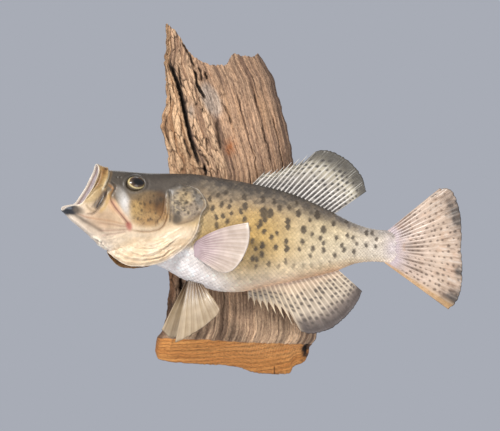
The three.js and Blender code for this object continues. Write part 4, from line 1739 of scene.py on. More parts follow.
@dataclass(frozen=True)
class Eye:
    """A cast eye: a flattened ball with a gold-rimmed iris and a large dark pupil."""

    side: Side
    x: float = -86.2
    z: float = 14.2
    wide: float = 8.3
    high: float = 6.8
    deep: float = 5.5
    sunk: float = 3.3
    tilt: float = 0.42
    segments: tuple[int, int] = (96, 64)
    iris: Ramp = Ramp((
        (0, "040303"), (0.4, "060504"), (0.47, "1a120b"), (0.56, "33241a"), (0.68, "4a3726"),
        (0.78, "5b4630"), (0.83, "9c8352"), (0.88, "dccb98"), (0.93, "bba877"), (0.97, "7d6a4c"),
        (1, "5c5040"),
    ))

    def build(self) -> bpy.types.Object:
        """Build the eye.

        Returns:
            The piece.
        """
        bm = bmesh.new()
        around, up_down = self.segments
        bmesh.ops.create_uvsphere(bm, u_segments=around, v_segments=up_down, radius=1)
        over, out, up = np.array([v.co for v in bm.verts]).T
        flank = float(FORM.flank(FORM.straight(self.x, 17.0), self.z)) - self.sunk
        x = float(FORM.straight(self.x, flank))
        dout, dz = out * self.deep, up * self.high
        lean = np.cos(self.tilt), np.sin(self.tilt)
        points = FORM.bend(
            x + over * self.wide,
            self.side.value * (flank + dout * lean[0] - dz * lean[1]),
            self.z + dz * lean[0] + dout * lean[1],
        )
        paint = bm.verts.layers.float_color.new("paint")
        front = ease(0, 0.5, out)
        ring = np.hypot(over - 0.07 * front, up - 0.08 * front)
        pupil = np.hypot((over - 0.2 * front) * 0.82, up * 1.12)
        colour = self.iris(np.where(out > -0.2, np.maximum(ring, 0.5), 1.0))
        colour = blend(colour, self.iris(np.clip(pupil, 0, 0.6)), fall(0.5, 0.62, pupil))
        for vert, point, shade in zip(bm.verts, points, colour):
            vert.co = point * MM
            vert[paint] = (*shade, 1)
        bm.normal_update()
        bmesh.ops.recalc_face_normals(bm, faces=bm.faces)
        name = self.side.name.lower()
        finish = EyeFinish(f"eye_gloss_{name}")
        return piece(meshed(f"cast_eye_{name}", bm), finish.material(), (f"eye_{name}",))


# ---- fins


class FinPaint(Enum):
    """How a fin is painted."""

    BARRED = "dark spots between white rays"
    SPOTTED = "cream with grey spots and a grey rim"
    SPECKLED = "cream and pink with dark specks"
    PALE = "milky with mauve rays"
    STREAKED = "pale yellow with brown streaks at the root"


@dataclass(frozen=True)
class Web:
    """A fin's points as its painters see them."""

    ray: Array
    at: Array
    bar: Array
    gap: Array
    cloud: Array
    soft: Array
    z: Array


@dataclass(frozen=True)
class Fin:
    """A fan of rays from a root line to a tip line, given as (x, z, out) where they show."""

    name: str
    node: str
    paint: FinPaint
    root: tuple[Triple, ...]
    tip: tuple[Triple, ...]
    rays: int
    spines: int = 0
    notch: float = 0.12
    side: Side = Side.LEFT
    bow: float = 0.0
    slot: str = "fin"
    seed: int = 1
    per_ray: int = 9
    steps: int = 54
    sweep: Curve = Curve(((0, 0), (1, 1)))
    ridge: float = 1.0
    wear: float = 1.0
    tone: Triple = (1.0, 1.0, 1.0)
    arch: float = 0.0

    def build(self) -> bpy.types.Object:
        """Build the fin: two faces with rays standing out, joined round their rim.

        Returns:
            The piece.
        """
        u = np.linspace(0, 1, (self.rays - 1) * self.per_ray + 1)
        v = np.linspace(0, 1, self.steps + 1)
        ray = u * (self.rays - 1)
        off = np.abs(ray - np.rint(ray)) * 2
        mottle = Mottle(self.seed)
        spiny = fall(self.spines - 0.6, self.spines + 0.2, ray)
        nick = 0.004 + 0.006 * mottle(ray * 1.7, 0.5) + 0.02 * ease(0.45, 1, mottle(ray * 0.9, 4.4))
        drawn = 1 - spiny * self.notch * off**0.5 - (1 - spiny) * nick * off * self.wear
        drawn = 1.012 * drawn - 0.008 * self.wear * (1 - spiny) * (1 + mottle(ray * 3.3, 7.7))
        root, tip = path(self.root, u), path(self.tip, self.sweep(u))
        t = (v[None, :] * drawn[:, None])[..., None]
        mid = root[:, None, :] * (1 - t) + tip[:, None, :] * t
        ripple = 0.35 * np.sin(ray * 1.9 + self.seed)[:, None] * v[None, :] ** 2
        crumple = 0.5 * self.wear * mottle.layered(ray[:, None] / 4, v[None, :] * 5, 2) * v[None, :]
        out = mid[..., 2] + self.bow * np.sin(math.pi * v)[None, :] + ripple + crumple
        z = mid[..., 1] + self.arch * np.sin(math.pi * t[..., 0] ** 0.8) * ((1 - u) ** 2)[:, None]
        x = mid[..., 0] - out * np.sin(FORM.heading(mid[..., 0]))
        middle = FORM.bend(x, self.side.value * out, z)
        lift = normals_of(middle) * self.thickness(ray[:, None], v, spiny[:, None])[..., None]
        colour = self.colours(ray[:, None], t[..., 0], mid[..., 0], z)
        faces = [sheet(middle + sign * lift, colour) for sign in (1, -1)]
        finish = PaintedFinish(f"{self.name}_finish", lacquer=0.3, grain=1400.0)
        data = meshed(self.name, closed(joined(*faces)))
        return piece(data, finish.material(), (self.node,))

    def thickness(self, ray: Array, v: Array, spiny: Array) -> Array:
        """Give the fin's half thickness: round rays that fork, with a thin web between.

        Args:
            ray: Position across the rays.
            v: Share of the way from root to rim.
            spiny: 1 where the rays are spines.

        Returns:
            Half thicknesses in millimetres.
        """
        off = ray - np.rint(ray)
        fork = 0.24 * ease(0.35, 1, v) * (1 - spiny)
        wide = (0.16 - 0.05 * v) * (1 + 0.25 * spiny)
        bar = np.maximum(bell(off - fork, 0.13), bell(off + fork, 0.13))
        bar = np.where(fork > 0.02, bar, fall(0.5, 1.6, np.abs(off) / wide))
        tall = (0.5 - 0.3 * v + 0.12 * spiny) * self.ridge
        sunk = ease(0, 0.16, v) if self.paint is FinPaint.SPECKLED else 1
        half = 0.2 + tall * bar * sunk + 0.25 * fall(0, 0.14, v)
        joint = 1 - 0.12 * (np.sin(v * 150) > 0.4) * (1 - spiny) * ease(0.25, 0.4, v)
        inside = np.minimum(ray, self.rays - 1 - ray) > 0
        return half * joint * fall(0.965, 1, v) * inside

    def colours(self, ray: Array, at: Array, x: Array, z: Array) -> Array:
        """Paint the fin by ray and by distance from its root.

        Args:
            ray: Position across the rays.
            at: Distance from the root as a share of the longest reach of each ray.
            x: Where the points show from the side.
            z: Their height.

        Returns:
            Linear colours.
        """
        off = ray - np.rint(ray)
        bar, gap = bell(off, 0.12) + 0 * at, bell(np.abs(off) - 0.36, 0.14) + 0 * at
        soft = ease(self.spines - 1.5, self.spines + 1, ray)
        web = Web(ray, at, bar, gap, cloudy(x / 5, z / 5, 3), soft, z)
        painter = getattr(self, self.paint.name.lower())
        return unit(painter(web) * np.array(self.tone))

    def barred(self, web: Web) -> Array:
        """Paint white rays over a dark web that turns pale and spotted, with an olive rim.

        Args:
            web: The fin's points.

        Returns:
            Linear colours.
        """
        at = web.at
        ground = Ramp((
            (0, "4d4641"), (0.2, "6d645d"), (0.4, "b5ada0"), (0.64, "c4bba5"), (0.78, "7b7465"),
            (0.9, "5f5a50"), (1, "5c574e"),
        ))(at + 0.07 * web.cloud)
        pale = ease(0.1, 0.5, cloudy(web.ray * 1.3, at * 11, 2))
        return coated(
            ground,
            ("cfc8c0", pale * fall(0.35, 0.6, at) * 0.8),
            ("3b3531", self.marks(web, 9, 0.38, 0.3) * fall(0.78, 0.95, at) * 0.9),
            ("47403b", web.gap * 0.4 * fall(0.4, 0.7, at)),
            ("f7f2ea", web.bar * (1 - ease(0.6, 0.85, at) * web.soft) * 0.92),
        )

    def spotted(self, web: Web) -> Array:
        """Paint cream rays and grey spots, pink at the root and mauve grey at the rim, with painted
        shade between the rays.

        Args:
            web: The fin's points.

        Returns:
            Linear colours.
        """
        at = web.at
        ground = Ramp((
            (0, "ffd3bb"), (0.12, "f6dcc0"), (0.35, "c9bca8"), (0.62, "bfb3a4"), (0.79, "7d726c"),
            (0.93, "544b48"), (1, "655c5a"),
        ))(at + 0.07 * web.cloud)
        fade = ease(0.14, 0.3, at) * fall(0.82, 0.95, at)
        cream = blend("f6ead6", "f2d9a8", 0.6 * fall(2, 12, web.ray) + 0 * at)
        return coated(
            ground,
            # painted shade between the raised rays near the root
            ("8f8175", web.gap * 0.6 * fall(0.35, 0.65, at)),
            ("544c46", self.marks(web, 8.5, 0.4, 0.3) * fade * 0.85),
            ("e6d3b8", 0.8 * (1 - web.soft) * ease(0.45, 0.75, at)),
            (cream, web.bar * (1 - ease(0.55, 0.85, at) * web.soft) * 0.85),
        )

    def speckled(self, web: Web) -> Array:
        """Paint dark streaks and specks on cream and pink, and dark grey patches at the rim.

        Args:
            web: The fin's points.

        Returns:
            Linear colours.
        """
        at, z = web.at, web.z
        ground = Ramp((
            (0, "dccdbb"), (0.08, "d8cad0"), (0.2, "dccbc4"), (0.35, "e4cebc"), (0.7, "e6cfb8"),
            (0.95, "d8c0aa"), (1, "b0a08f"),
        ))(at + 0.05 * web.cloud)
        streak = web.gap * ease(0.1, 0.2, at) * fall(0.4, 0.56, at)
        streak = streak * ease(-0.2, 0.3, MOTTLE(web.ray * 0.9, at * 2))
        fibre = cloudy(web.ray * 3.1, at * 9, 3)
        patches = (-13, 15, 0.76, 0.97), (-64, 5, 0.86, 1), (-91, 9, 0.72, 0.92)
        dark = np.max([bell(z - mid, tall) * ease(a, b, at) for mid, tall, a, b in patches], axis=0)
        low = fall(0.4, 1.6, np.abs(web.ray - (self.rays - 1)))
        return coated(
            ground,
            ("dcb392", ease(0.1, 0.6, web.cloud) * 0.4),
            ("66503f", streak * 0.85),
            ("5d4b3e", self.marks(web, 13, 0.24, 0.28) * ease(0.16, 0.3, at) * 0.8),
            ("a98c76", ease(0.15, 0.6, fibre) * ease(0.6, 0.85, at) * 0.7),
            ("f8efe4", ease(0.15, 0.6, -fibre) * ease(0.5, 0.8, at) * 0.6),
            ("4d4742", np.clip(dark * (1.3 + 1.3 * web.cloud + 1.3 * fibre), 0, 0.92)),
            ("d9b07a", low * 0.8 + 0 * at),
            ("8d7460", 0.35 * ease(0.1, 0.6, fibre) * ease(0.1, 0.4, at)),
            ("f6e8da", web.bar * 0.2 * ease(0.1, 0.3, at)),
        )

    def pale(self, web: Web) -> Array:
        """Paint a milky web with mauve lines that fade from the root, and a rim lightened as a
        painted highlight.

        Args:
            web: The fin's points.

        Returns:
            Linear colours.
        """
        at = web.at
        ground = Ramp(((0, "d3c2ca"), (0.25, "dccbca"), (0.6, "e2d2c6"), (1, "e9dac8")))
        return coated(
            ground(at + 0.04 * web.cloud),
            ("a98596", web.gap * fall(0.15, 0.75, at) * 0.6),
            ("b9a392", web.gap * ease(0.4, 0.7, at) * 0.25),
            # a light rim: partly the fin's own cream edge, partly a painted highlight against the
            # rim's shade
            ("fff4e6", 0.8 * ease(0.94, 0.99, at)),
            ("f3e8e4", web.bar * 0.3),
        )

    def streaked(self, web: Web) -> Array:
        """Paint a pale yellow web with brown streaks at the root, where the dark ground is partly
        painted shade.

        Args:
            web: The fin's points.

        Returns:
            Linear colours.
        """
        at = web.at
        # dark root: partly the fin's own brown, partly painted shade
        ground = Ramp(((0, "5a432b"), (0.16, "937650"), (0.45, "cfbc98"), (1, "dccbab")))
        return coated(
            ground(at + 0.07 * web.cloud),
            ("63492f", web.gap * fall(0.12, 0.6, at) * 0.75),
            ("8f7656", web.gap * ease(0.4, 0.8, at) * 0.3),
            ("eadfc6", web.bar * 0.35),
        )

    def marks(self, web: Web, count: float, wide: float, tall: float) -> Array:
        """Give dark marks in loose rows between the rays.

        Args:
            web: The fin's points.
            count: Marks from root to rim.
            wide: Half width of a mark, as a share of the space between rays.
            tall: Half height of a mark, as a share of the space between rows.

        Returns:
            How dark each point is.
        """
        between = web.ray - 0.5
        row = web.at * count + 0.5 * (np.floor(web.ray) % 2)
        cell, line = np.floor(between + 0.5), np.floor(row)
        table = np.random.default_rng(self.seed + 40).random((64, 64, 4))
        pick = table[cell.astype(int) % 64, line.astype(int) % 64]
        du = between - cell + 0.16 * (pick[..., 0] - 0.5)
        dv = row - line - 0.5 + 0.5 * (pick[..., 1] - 0.5)
        size = 0.6 + 0.6 * pick[..., 2]
        far = np.hypot(du / wide, dv / tall) / size
        far = far + 0.35 * MOTTLE(web.ray * 3.1, web.at * 40)
        return fall(0.5, 1.25, far) * (pick[..., 3] > 0.16)


FINS: tuple[Fin, ...] = (
    Fin(
        "spotted_dorsal_fin", "dorsal_fin", FinPaint.BARRED,
        ((17, 13, 0), (50, 4.5, 0), (92.5, -12.4, 0)),
        (
            (20.5, 22.4, 0), (31.5, 26.6, 0.6), (43, 28.6, 1), (56, 35.4, 1.2), (68.4, 40.8, 1.4),
            (81, 44.7, 1.2), (95, 41.2, 0.8), (107.5, 32.5, 0.2), (116.5, 21.5, -0.6),
            (120.6, 7.5, -1.2),
        ),
        22, 7, 0.3, seed=2, tone=(0.92, 0.9, 0.88),
        sweep=Curve(((0, 0.085), (0.15, 0.24), (0.32, 0.46), (0.6, 0.72), (1, 1))),
    ),
    Fin(
        "spotted_anal_fin", "anal_fin", FinPaint.SPOTTED,
        ((13.5, -78, 0), (50, -71, 0), (93.5, -61, 0)),
        (
            (14.8, -92, 0), (24.5, -97.4, 0.4), (33, -101, 0.8), (41.5, -104.2, 1),
            (50, -109.5, 1.2), (59, -116.5, 1.3), (68, -120, 1.3), (80, -118.8, 1),
            (92, -113.8, 0.6), (103, -104, 0.2), (111.5, -93.6, -0.4), (117, -82, -1),
        ),
        22, 7, 0.42, seed=3, tone=(1.0, 0.94, 0.87),
        sweep=Curve(((0, 0), (0.2, 0.23), (0.335, 0.43), (0.59, 0.68), (1, 1))),
    ),
    Fin(
        "speckled_tail_fin", "tail_fin", FinPaint.SPECKLED,
        ((138, -29, 0), (141, -36, 0), (141.5, -44, 0), (141, -51, 0), (137, -56.6, 0)),
        (
            (186, 10.4, 1), (195.5, 9, 1), (201, -0.5, 0.4), (204.6, -15, 0), (205.4, -30, -0.6),
            (205, -45, -0.6), (205.8, -59, 0), (205.2, -77, 0.6), (201.5, -90, 1),
            (193.5, -98, 1.2),
        ),
        20, seed=4, steps=70, tone=(0.85, 0.81, 0.79),
    ),
    Fin(
        "left_pectoral_fin", "pectoral_fin_left", FinPaint.PALE,
        ((-34.9, -39.4, 20.2), (-34, -44.5, 20.8), (-33.4, -50.4, 19.6)),
        (
            (14.6, -20.1, 42), (15.6, -31, 43), (13.6, -42.5, 43), (8.5, -53, 42), (2, -61.5, 40),
            (-6, -65, 36.5), (-15, -63, 32),
        ),
        16, bow=2, slot="pale_fin", seed=5, ridge=0.3, wear=0.25, tone=(0.76, 0.71, 0.69), arch=4.2,
    ),
    Fin(
        "right_pectoral_fin", "pectoral_fin_right", FinPaint.PALE,
        ((-33.9, -39.4, 17), (-33, -44.5, 17), (-32.4, -50.4, 16)),
        (
            (12, -34, 24.4), (13.6, -42.5, 24.2), (8.5, -50, 23), (0, -56.5, 21.4),
            (-12, -58.5, 20),
        ),
        14, side=Side.RIGHT, bow=3.5, slot="pale_fin", seed=6, ridge=0.3, wear=0.25,
        tone=(0.76, 0.71, 0.69),
    ),
    Fin(
        "left_pelvic_fin", "pelvic_fin_left", FinPaint.STREAKED,
        ((-39.5, -72.2, 5), (-33, -74.2, 7), (-26, -76.4, 8)),
        (
            (-51, -127.6, 13), (-42, -123.6, 16), (-31.5, -117.4, 18.5), (-22, -110.6, 20),
            (-11.4, -99.6, 20.5), (-14.5, -91.6, 18),
        ),
        9, bow=1.5, slot="pale_fin", seed=7, per_ray=14, ridge=0.45, wear=0.6,
        tone=(0.66, 0.59, 0.54),
    ),
    Fin(
        "right_pelvic_fin", "pelvic_fin_right", FinPaint.STREAKED,
        ((-39.5, -72.2, 5), (-33, -74.2, 7), (-26, -76.4, 8)),
        (
            (-58.4, -116.6, 12), (-51, -123.6, 13.6), (-42, -121.8, 15), (-32, -115.8, 15.8),
            (-22, -106, 16), (-18.5, -92, 14),
        ),
        9, side=Side.RIGHT, bow=1.5, slot="pale_fin", seed=8, per_ray=14, ridge=0.45, wear=0.6,
        tone=(0.66, 0.59, 0.54),
    ),
)


# ---- the slab


def counted(rows: tuple[int, ...]) -> Array:
    """Count up by 1 over each span, in as many even steps as its number says."""
    return np.interp(np.arange(sum(rows) + 1), np.cumsum((0, *rows)), np.arange(len(rows) + 1))


def through(at: Array, *stops: Array | float) -> Array:
    """Run evenly from stop to stop.

    Args:
        at: 0 at the first stop, 1 at the next and so on.
        stops: The values at the stops.

    Returns:
        The values between them.
    """
    result = stops[0] + (stops[1] - stops[0]) * at
    for k in range(1, len(stops) - 1):
        result = np.where(at > k, stops[k] + (stops[k + 1] - stops[k]) * (at - k), result)
    return result


@dataclass(frozen=True)
class Crack:
    """A crack along the grain: its lane, its span of heights, its width and its depth."""

    lane: float
    low: float
    high: float
    wide: float
    deep: float


@dataclass(frozen=True)
class Slab:
    """The split slab of weathered wood, its saw cut below and the recess for the hanger."""

    sill: Curve = Curve(((0, -125.6), (0.45, -128.6), (1, -131.6)))
    split_lane: float = 0.2
    left: Curve = Curve((
        (-138, -71.5), (-126, -68.4), (-117, -63.9), (-90, -58.5), (0, -58), (36, -58.4),
        (54, -62.5), (72, -65), (90, -60.3), (104, -61.2), (124, -62.6), (138, -60.5), (160, -62.2),
    ))
    right: Curve = Curve((
        (-134, 70), (-126, 76), (-118, 77.4), (-60, 68), (0, 60.5), (34, 56), (45, 54.5),
        (72, 48.6), (98, 41), (109, 38.6), (120, 32.5), (131, 26.8),
    ))
    top: Curve = Curve((
        (-62, 159.5), (-60, 161.8), (-56.6, 159), (-48.9, 150), (-44, 140.4), (-36, 131.8),
        (-29, 127.6), (-24, 124.4), (-12, 123.2), (-7, 124.6), (-3, 129.2), (2, 133.6),
        (11, 131.8), (20, 131.2), (23.4, 134), (26.8, 130),
    ))
    cut: Curve = Curve((
        (-71.5, -138), (-68.4, -145.4), (-39.6, -149.8), (-13.5, -151.2), (4.5, -153.9), (13, -157),
        (26, -159), (52, -158.4), (55, -152.7), (65.3, -148.3), (70, -141),
    ))
    depth: Curve = Curve((
        (0, 15), (0.06, 24), (0.2, 31.5), (0.36, 36.5), (0.55, 38.6), (0.75, 36.4), (0.92, 28),
        (1, 17),
    ))
    split: Curve = Curve(((25, 0.3), (50, 0.25), (72, 0.22), (94, 0.15), (112, 0.1), (126, 0.062)))
    cracks: tuple[Crack, ...] = (
        Crack(0.05, 84, 130, 0.006, 3), Crack(0.66, 10, 100, 0.004, 2),
        Crack(0.8, 30, 110, 0.004, 2.2), Crack(0.9, -10, 80, 0.005, 2.4),
        Crack(0.06, -120, -40, 0.008, 4), Crack(0.3, -126, -70, 0.003, 1.4),
        Crack(0.72, -126, -90, 0.003, 1.4), Crack(0.2, 20, 34, 0.012, 8),
    )
    clefts: tuple[Fold, ...] = (
        Fold(
            (
                -58.5, 126.9, -54.9, 119.7, -48.6, 103.5, -44.1, 85.5,
                -38.7, 60.3, -33.3, 42.3, -29, 30,
            ),
            1.5, -9,
        ),
        Fold((-47.6, 97, -43.4, 84, -40.4, 70), 1.6, -4),
        Fold((-48.6, 120.6, -47.6, 112, -45.5, 100.8), 0.8, -4),
        Fold((-34.5, 119, -33, 112, -31.5, 104.5, -28, 98, -24, 91), 1.1, -6),
        Fold((-24.5, 116, -22.4, 108.6), 0.8, -4),
        Fold((-45.5, 143, -41, 135.5, -36.5, 126.5, -34.5, 119), 0.8, -4),
        Fold((-30.4, 121, -28.6, 116, -27.6, 108), 0.7, -4),
        Fold((-44, 56, -41, 47, -37.4, 38), 0.9, -4),
        Fold((-33.3, 63, -31.6, 56, -27, 49.5), 0.6, -3),
        Fold((-22.4, 57, -23.4, 50, -22.5, 43.6), 0.6, -3),
        Fold((-13.5, 73, -12.4, 60, -9.9, 45), 1.2, -3),
        Fold((-11.7, 89, -6.3, 83.7, -2.7, 76.5, 0, 67.5), 1.0, -2.4),
        Fold((-12.6, 95.4, -9, 94.4, -5.4, 95.6), 0.6, -1.6),
        Fold((-59.4, 76.5, -60.6, 63, -56, 47.7), 0.8, -3),
        Fold((-36, 101, -35, 93, -31.8, 85), 0.6, -2.4),
        Fold((-30, 95, -29, 88, -24.5, 77), 0.6, -2.4),
        Fold((-29, 42, -24, 38, -21, 31), 0.8, -3),
    )
    flakes: tuple[Fold, ...] = (
        Fold((-42.4, 123, -39.4, 114, -38.8, 106), 1.6, 1.8),
        Fold((-37, 99.9, -35.4, 93, -33.8, 85.5), 1.3, 2.2),
        Fold((-28.4, 96, -27.4, 90, -28, 83), 1.4, 2.2),
        Fold((-24.4, 88, -22.6, 82, -20.7, 76), 1.1, 1.8),
        Fold((-27.2, 119.7, -25.9, 110.7), 1.6, 2.2),
        Fold((-60.4, 122, -56, 105, -51, 90, -47, 74), 2.0, 1.2),
        Fold((-50, 70, -45.6, 56, -40, 38), 1.8, 1.0),
        Fold((-8, 84, -5, 78, -3.4, 70), 1.2, 1.2),
        Fold((-17, 72, -16.4, 60, -14.6, 46), 1.4, 1.4),
    )
    pocket: tuple[float, float, float, float, float] = (-24, 28, 77, 91, 3.2)
    wide: int = 232
    high: int = 300
    grit_seed: int = 4
    speck_seed: int = 9
    open_above: float = 24
    edge_rows: int = 5
    cut_rows: int = 28
    crown_span: Pair = (-60.6, 24.4)
    foot_span: Pair = (-66, 67)
    field_columns: tuple[int, int, int] = (6, 10, 6)
    field_rows: tuple[int, int, int] = (26, 4, 12)

    def across(self, lane: Array, z: Array) -> Array:
        """Give the share of the slab's width at which a line of the grain runs.

        Args:
            lane: Line of the grain.
            z: Height.

        Returns:
            Shares of the width.
        """
        beside = self.split(z)
        after = beside + (1 - beside) * (lane - self.split_lane) / (1 - self.split_lane)
        return np.where(lane < self.split_lane, lane / self.split_lane * beside, after)

    def thickness(self, lane: Array, z: Array, x: Array) -> tuple[Array, Array, Array]:
        """Give the slab's thickness and how its fine relief lies.

        Args:
            lane: Line of the grain, 0 on the left edge and 1 on the right.
            z: Height.
            x: Place across the slab.

        Returns:
            Thickness in millimetres, how dark the cracks and the gaps between chips are painted as
            shade, and the height of the chips and ribs.
        """
        m = MOTTLE
        wander = lane + 0.004 * m(lane * 9, z / 14)
        crest = 1 - 0.24 * unit((z - 60) / 90)
        flutes = 0.9 * np.sin(lane * 38) + 0.5 * np.sin(lane * 67 + z * 0.03)
        hollow = 4 * bell(lane - 0.46, 0.06) * bell(z - 92, 17)
        base = self.depth(self.across(lane, z)) * crest - 1.4
        rough = fall(0.36, 0.43, lane) * ease(-10, 30, z)
        rough = rough * (1 - 0.7 * bell(lane - 0.46, 0.06))
        rough = np.maximum(rough, fall(0.05, 0.12, lane) * 0.8)
        gap, level = m.chips(wander * 27 + 0.02 * z, z / 15)
        fine_gap, fine_level = m.chips(wander * 70, z / 7)
        chips = 3.0 * (level - 0.45) - 1.5 * fall(0, 0.14, gap) * (level > 0.3)
        chips += 1.1 * (fine_level - 0.5) - 0.5 * fall(0, 0.15, fine_gap)
        ribs = 0.9 - 2.2 * np.abs(m.layered(wander * 34, z / 90, 3))
        ribs *= ease(0.4, 0.5, lane) * (1 - 0.5 * ease(-40, -90, z))
        fibres = 0.5 * m.layered(wander * 110, z / 30, 3) + 0.25 * m(wander * 260, z / 8)
        pits = 0.5 * ease(0.5, 0.9, m(wander * 170, z / 4))
        cracks = self.cracked(lane, z)
        upper = z > self.open_above
        x, high = x[upper], z[upper]
        place = x + 0.5 * m(x / 3, high / 2.6), high + 0.9 * m(x / 2.1, high / 3)
        deep, raised = np.zeros(z.shape), np.zeros(z.shape)
        deep[upper] = np.max([-cleft.depth(*place) for cleft in self.clefts], axis=0)
        raised[upper] = np.max([flake.depth(*place) for flake in self.flakes], axis=0)
        cracks = np.maximum(cracks, deep)
        grit = np.random.default_rng(self.grit_seed).normal(0, 0.07, z.shape)
        lift = chips * rough * (1 - 0.5 * ease(0.5, 2, raised)) + ribs + fibres
        lift = lift - pits + raised + 2 * grit
        # painted shade in the cracks, darker where they are deeper, and in the gaps between chips
        dark = unit(cracks / 4.5 + 0.6 * fall(0, 0.12, gap) * (level > 0.3) * rough)
        return base + flutes * np.sin(math.pi * lane) - hollow + lift - cracks, dark, lift

    def cracked(self, lane: Array, z: Array) -> Array:
        """Give the depth of the jagged cracks along the grain.

        Args:
            lane: Line of the grain.
            z: Height.

        Returns:
            Depths in millimetres.
        """
        m = MOTTLE
        deepest = np.zeros(np.broadcast(lane, z).shape)
        for crack in self.cracks:
            inside = unit((z - crack.low) / 8) * unit((crack.high - z) / 8)
            jag = 0.008 * m(z / 5.5, crack.lane * 90) + 0.004 * m(z / 1.8, crack.lane * 50)
            width = crack.wide * (1 + 0.6 * m(z / 9, crack.lane * 50)) * (0.35 + 0.65 * inside)
            gap = np.exp(-np.abs((lane - crack.lane - jag) / width) ** 3)
            deepest = np.maximum(deepest, crack.deep * inside * gap)
        return deepest

    def outline(self, lanes: Array) -> tuple[Array, Array]:
        """Give the broken top and the sawn bottom of the slab, lane by lane.

        Args:
            lanes: Lines of the grain.

        Returns:
            The heights of the top and of the bottom.
        """
        crown = self.top(-62 + 89 * self.across(lanes, np.full(lanes.shape, 130.0)))
        crown = crown + 0.9 * MOTTLE(lanes * 70, 9.2) + 0.6 * MOTTLE(lanes * 160, 2.2) - 0.8
        low = self.cut(-71.5 + 141.5 * self.across(lanes, self.sill(lanes)))
        return crown, low + 0.5 + 0.4 * MOTTLE(lanes * 90, 4.1)

    def front(self, lanes: Array) -> tuple[Array, Array, Array]:
        """Work out the weathered face.

        Args:
            lanes: Lines of the grain.

        Returns:
            Points by lane and height, from the top down, with the darkness of their painted shade
            in cracks, and their lift.
        """
        crown, _ = self.outline(lanes)
        lane, high = np.meshgrid(lanes, np.linspace(1, 0, self.high + 1), indexing="ij")
        foot = self.sill(lanes)[:, None]
        z = foot + (crown[:, None] - foot) * high
        z = z + 0.7 * (1 + MOTTLE(lane * 60, 5.5)) * (1 - high) ** 10
        wear_left = 0.9 * (1 + MOTTLE(z / 6, 1.1)) + 0.6 * MOTTLE(z / 2.2, 6.6)
        wear_right = 0.7 * (1 + MOTTLE(z / 8, 3.1)) + 0.4 * MOTTLE(z / 2.5, 7.6)
        left, right = self.left(z) + 0.2, self.right(z) - 0.2
        x = left + (right - left) * self.across(lane, z)
        x = x + wear_left * unit(1 - lane / 0.05)
        x = x - wear_right * unit(1 - (1 - lane) / 0.04)
        thick, dark, lift = self.thickness(lane, z, x)
        thick = thick - 1.6 * ease(0.98, 1, high)
        return np.stack([x, -thick, z], -1), dark, lift

    def build(self) -> bpy.types.Object:
        """Build the weathered face, the sides, the saw cut and the flat back with its recess.

        Returns:
            The piece.
        """
        lanes = np.linspace(0, 1, self.wide + 1)
        face, dark, lift = self.front(lanes)
        crown, low = self.outline(lanes)
        bottom, under, rot = self.saw_cut(lanes, face[:, -1], low)
        points = np.concatenate([self.broken_top(lanes, face[:, 0], crown), face, bottom], axis=1)
        share = np.zeros(points.shape[:2])
        share[:, -self.cut_rows:] = under.T
        pad = ((0, 0), (self.edge_rows, self.cut_rows))
        dark, lift = np.pad(dark, pad, mode="edge"), np.pad(lift, pad, mode="edge")
        dark[:, -self.cut_rows:] = (rot / 3).T
        lane = np.broadcast_to(lanes[:, None], share.shape)
        colour = self.colours(points, lane, share, dark, lift)
        # the face shows the fibres' length, the cut their ends
        grain = points * MM
        grain[..., 0] = np.where(share > 0, 0.05 * (share + 0.5 * lane), lane * 0.135)
        grain[..., 1] *= share <= 0
        grain[..., 2] = np.where(share > 0, 0.25 * lane, grain[..., 2])
        points, colour, grain = self.sides(points, colour, grain)
        whole = closed(joined(sheet(points, colour, grain), *self.back(points)))
        wall = [
            f for f in whole.faces
            if f.normal.y < -0.99 and max(abs(v.co.y) for v in f.verts) < 1e-6
        ]
        bmesh.ops.reverse_faces(whole, faces=wall)
        data = meshed("weathered_slab", whole)
        return piece(data, WoodFinish().material(), ("slab",))

    def broken_top(self, lanes: Array, edge: Array, crown: Array) -> Array:
        """Carry the face's upper edge over the broken top to the wall.

        Args:
            lanes: Lines of the grain.
            edge: The upper edge's points.
            crown: The top's height at the wall.

        Returns:
            Points by lane, from the wall to the edge.
        """
        over = np.linspace(0, 1, self.edge_rows + 1)[:-1, None]
        broken = 1.6 * MOTTLE(lanes * 80, over * 6) * over * (1 - over)
        z = crown + (edge[:, 2] - crown) * over**2 + broken
        return np.stack([edge[:, 0] + 0 * over, edge[:, 1] * over, z], -1).transpose(1, 0, 2)

    def saw_cut(self, lanes: Array, foot: Array, low: Array) -> tuple[Array, Array, Array]:
        """Carry the face's lower edge across the fresh saw cut to the wall.

        Args:
            lanes: Lines of the grain.
            foot: The lower edge's points.
            low: The cut's height at the wall.

        Returns:
            Points by lane, the share of the way to the wall, and how deep the rot lies.
        """
        under = np.linspace(0, 1, self.cut_rows + 1)[1:, None]
        saw = 0.08 * np.sin(lanes * 330 + under * 24) + 0.15 * MOTTLE(lanes * 12, under * 30)
        rot = 4.5 * bell(lanes - 0.965, 0.016) * bell(under - 0.4, 0.3)
        rot = rot * (1 + 0.5 * MOTTLE(lanes * 90, under * 9))
        rot = rot + 2 * bell(lanes - 0.73, 0.004) * ease(0.6, 0.9, under)
        drop = foot[:, 2] + (low - foot[:, 2]) * under
        sill = self.sill(lanes)
        flare = (self.left(drop) - self.left(sill)) * fall(0, 0.5, lanes)
        flare = flare + (self.right(drop) - self.right(sill)) * ease(0.5, 1, lanes)
        z = drop + (saw + rot) * np.sin(math.pi * under) ** 0.3
        points = np.stack([foot[:, 0] + flare, foot[:, 1] * (1 - under), z], -1)
        return points.transpose(1, 0, 2), under, rot

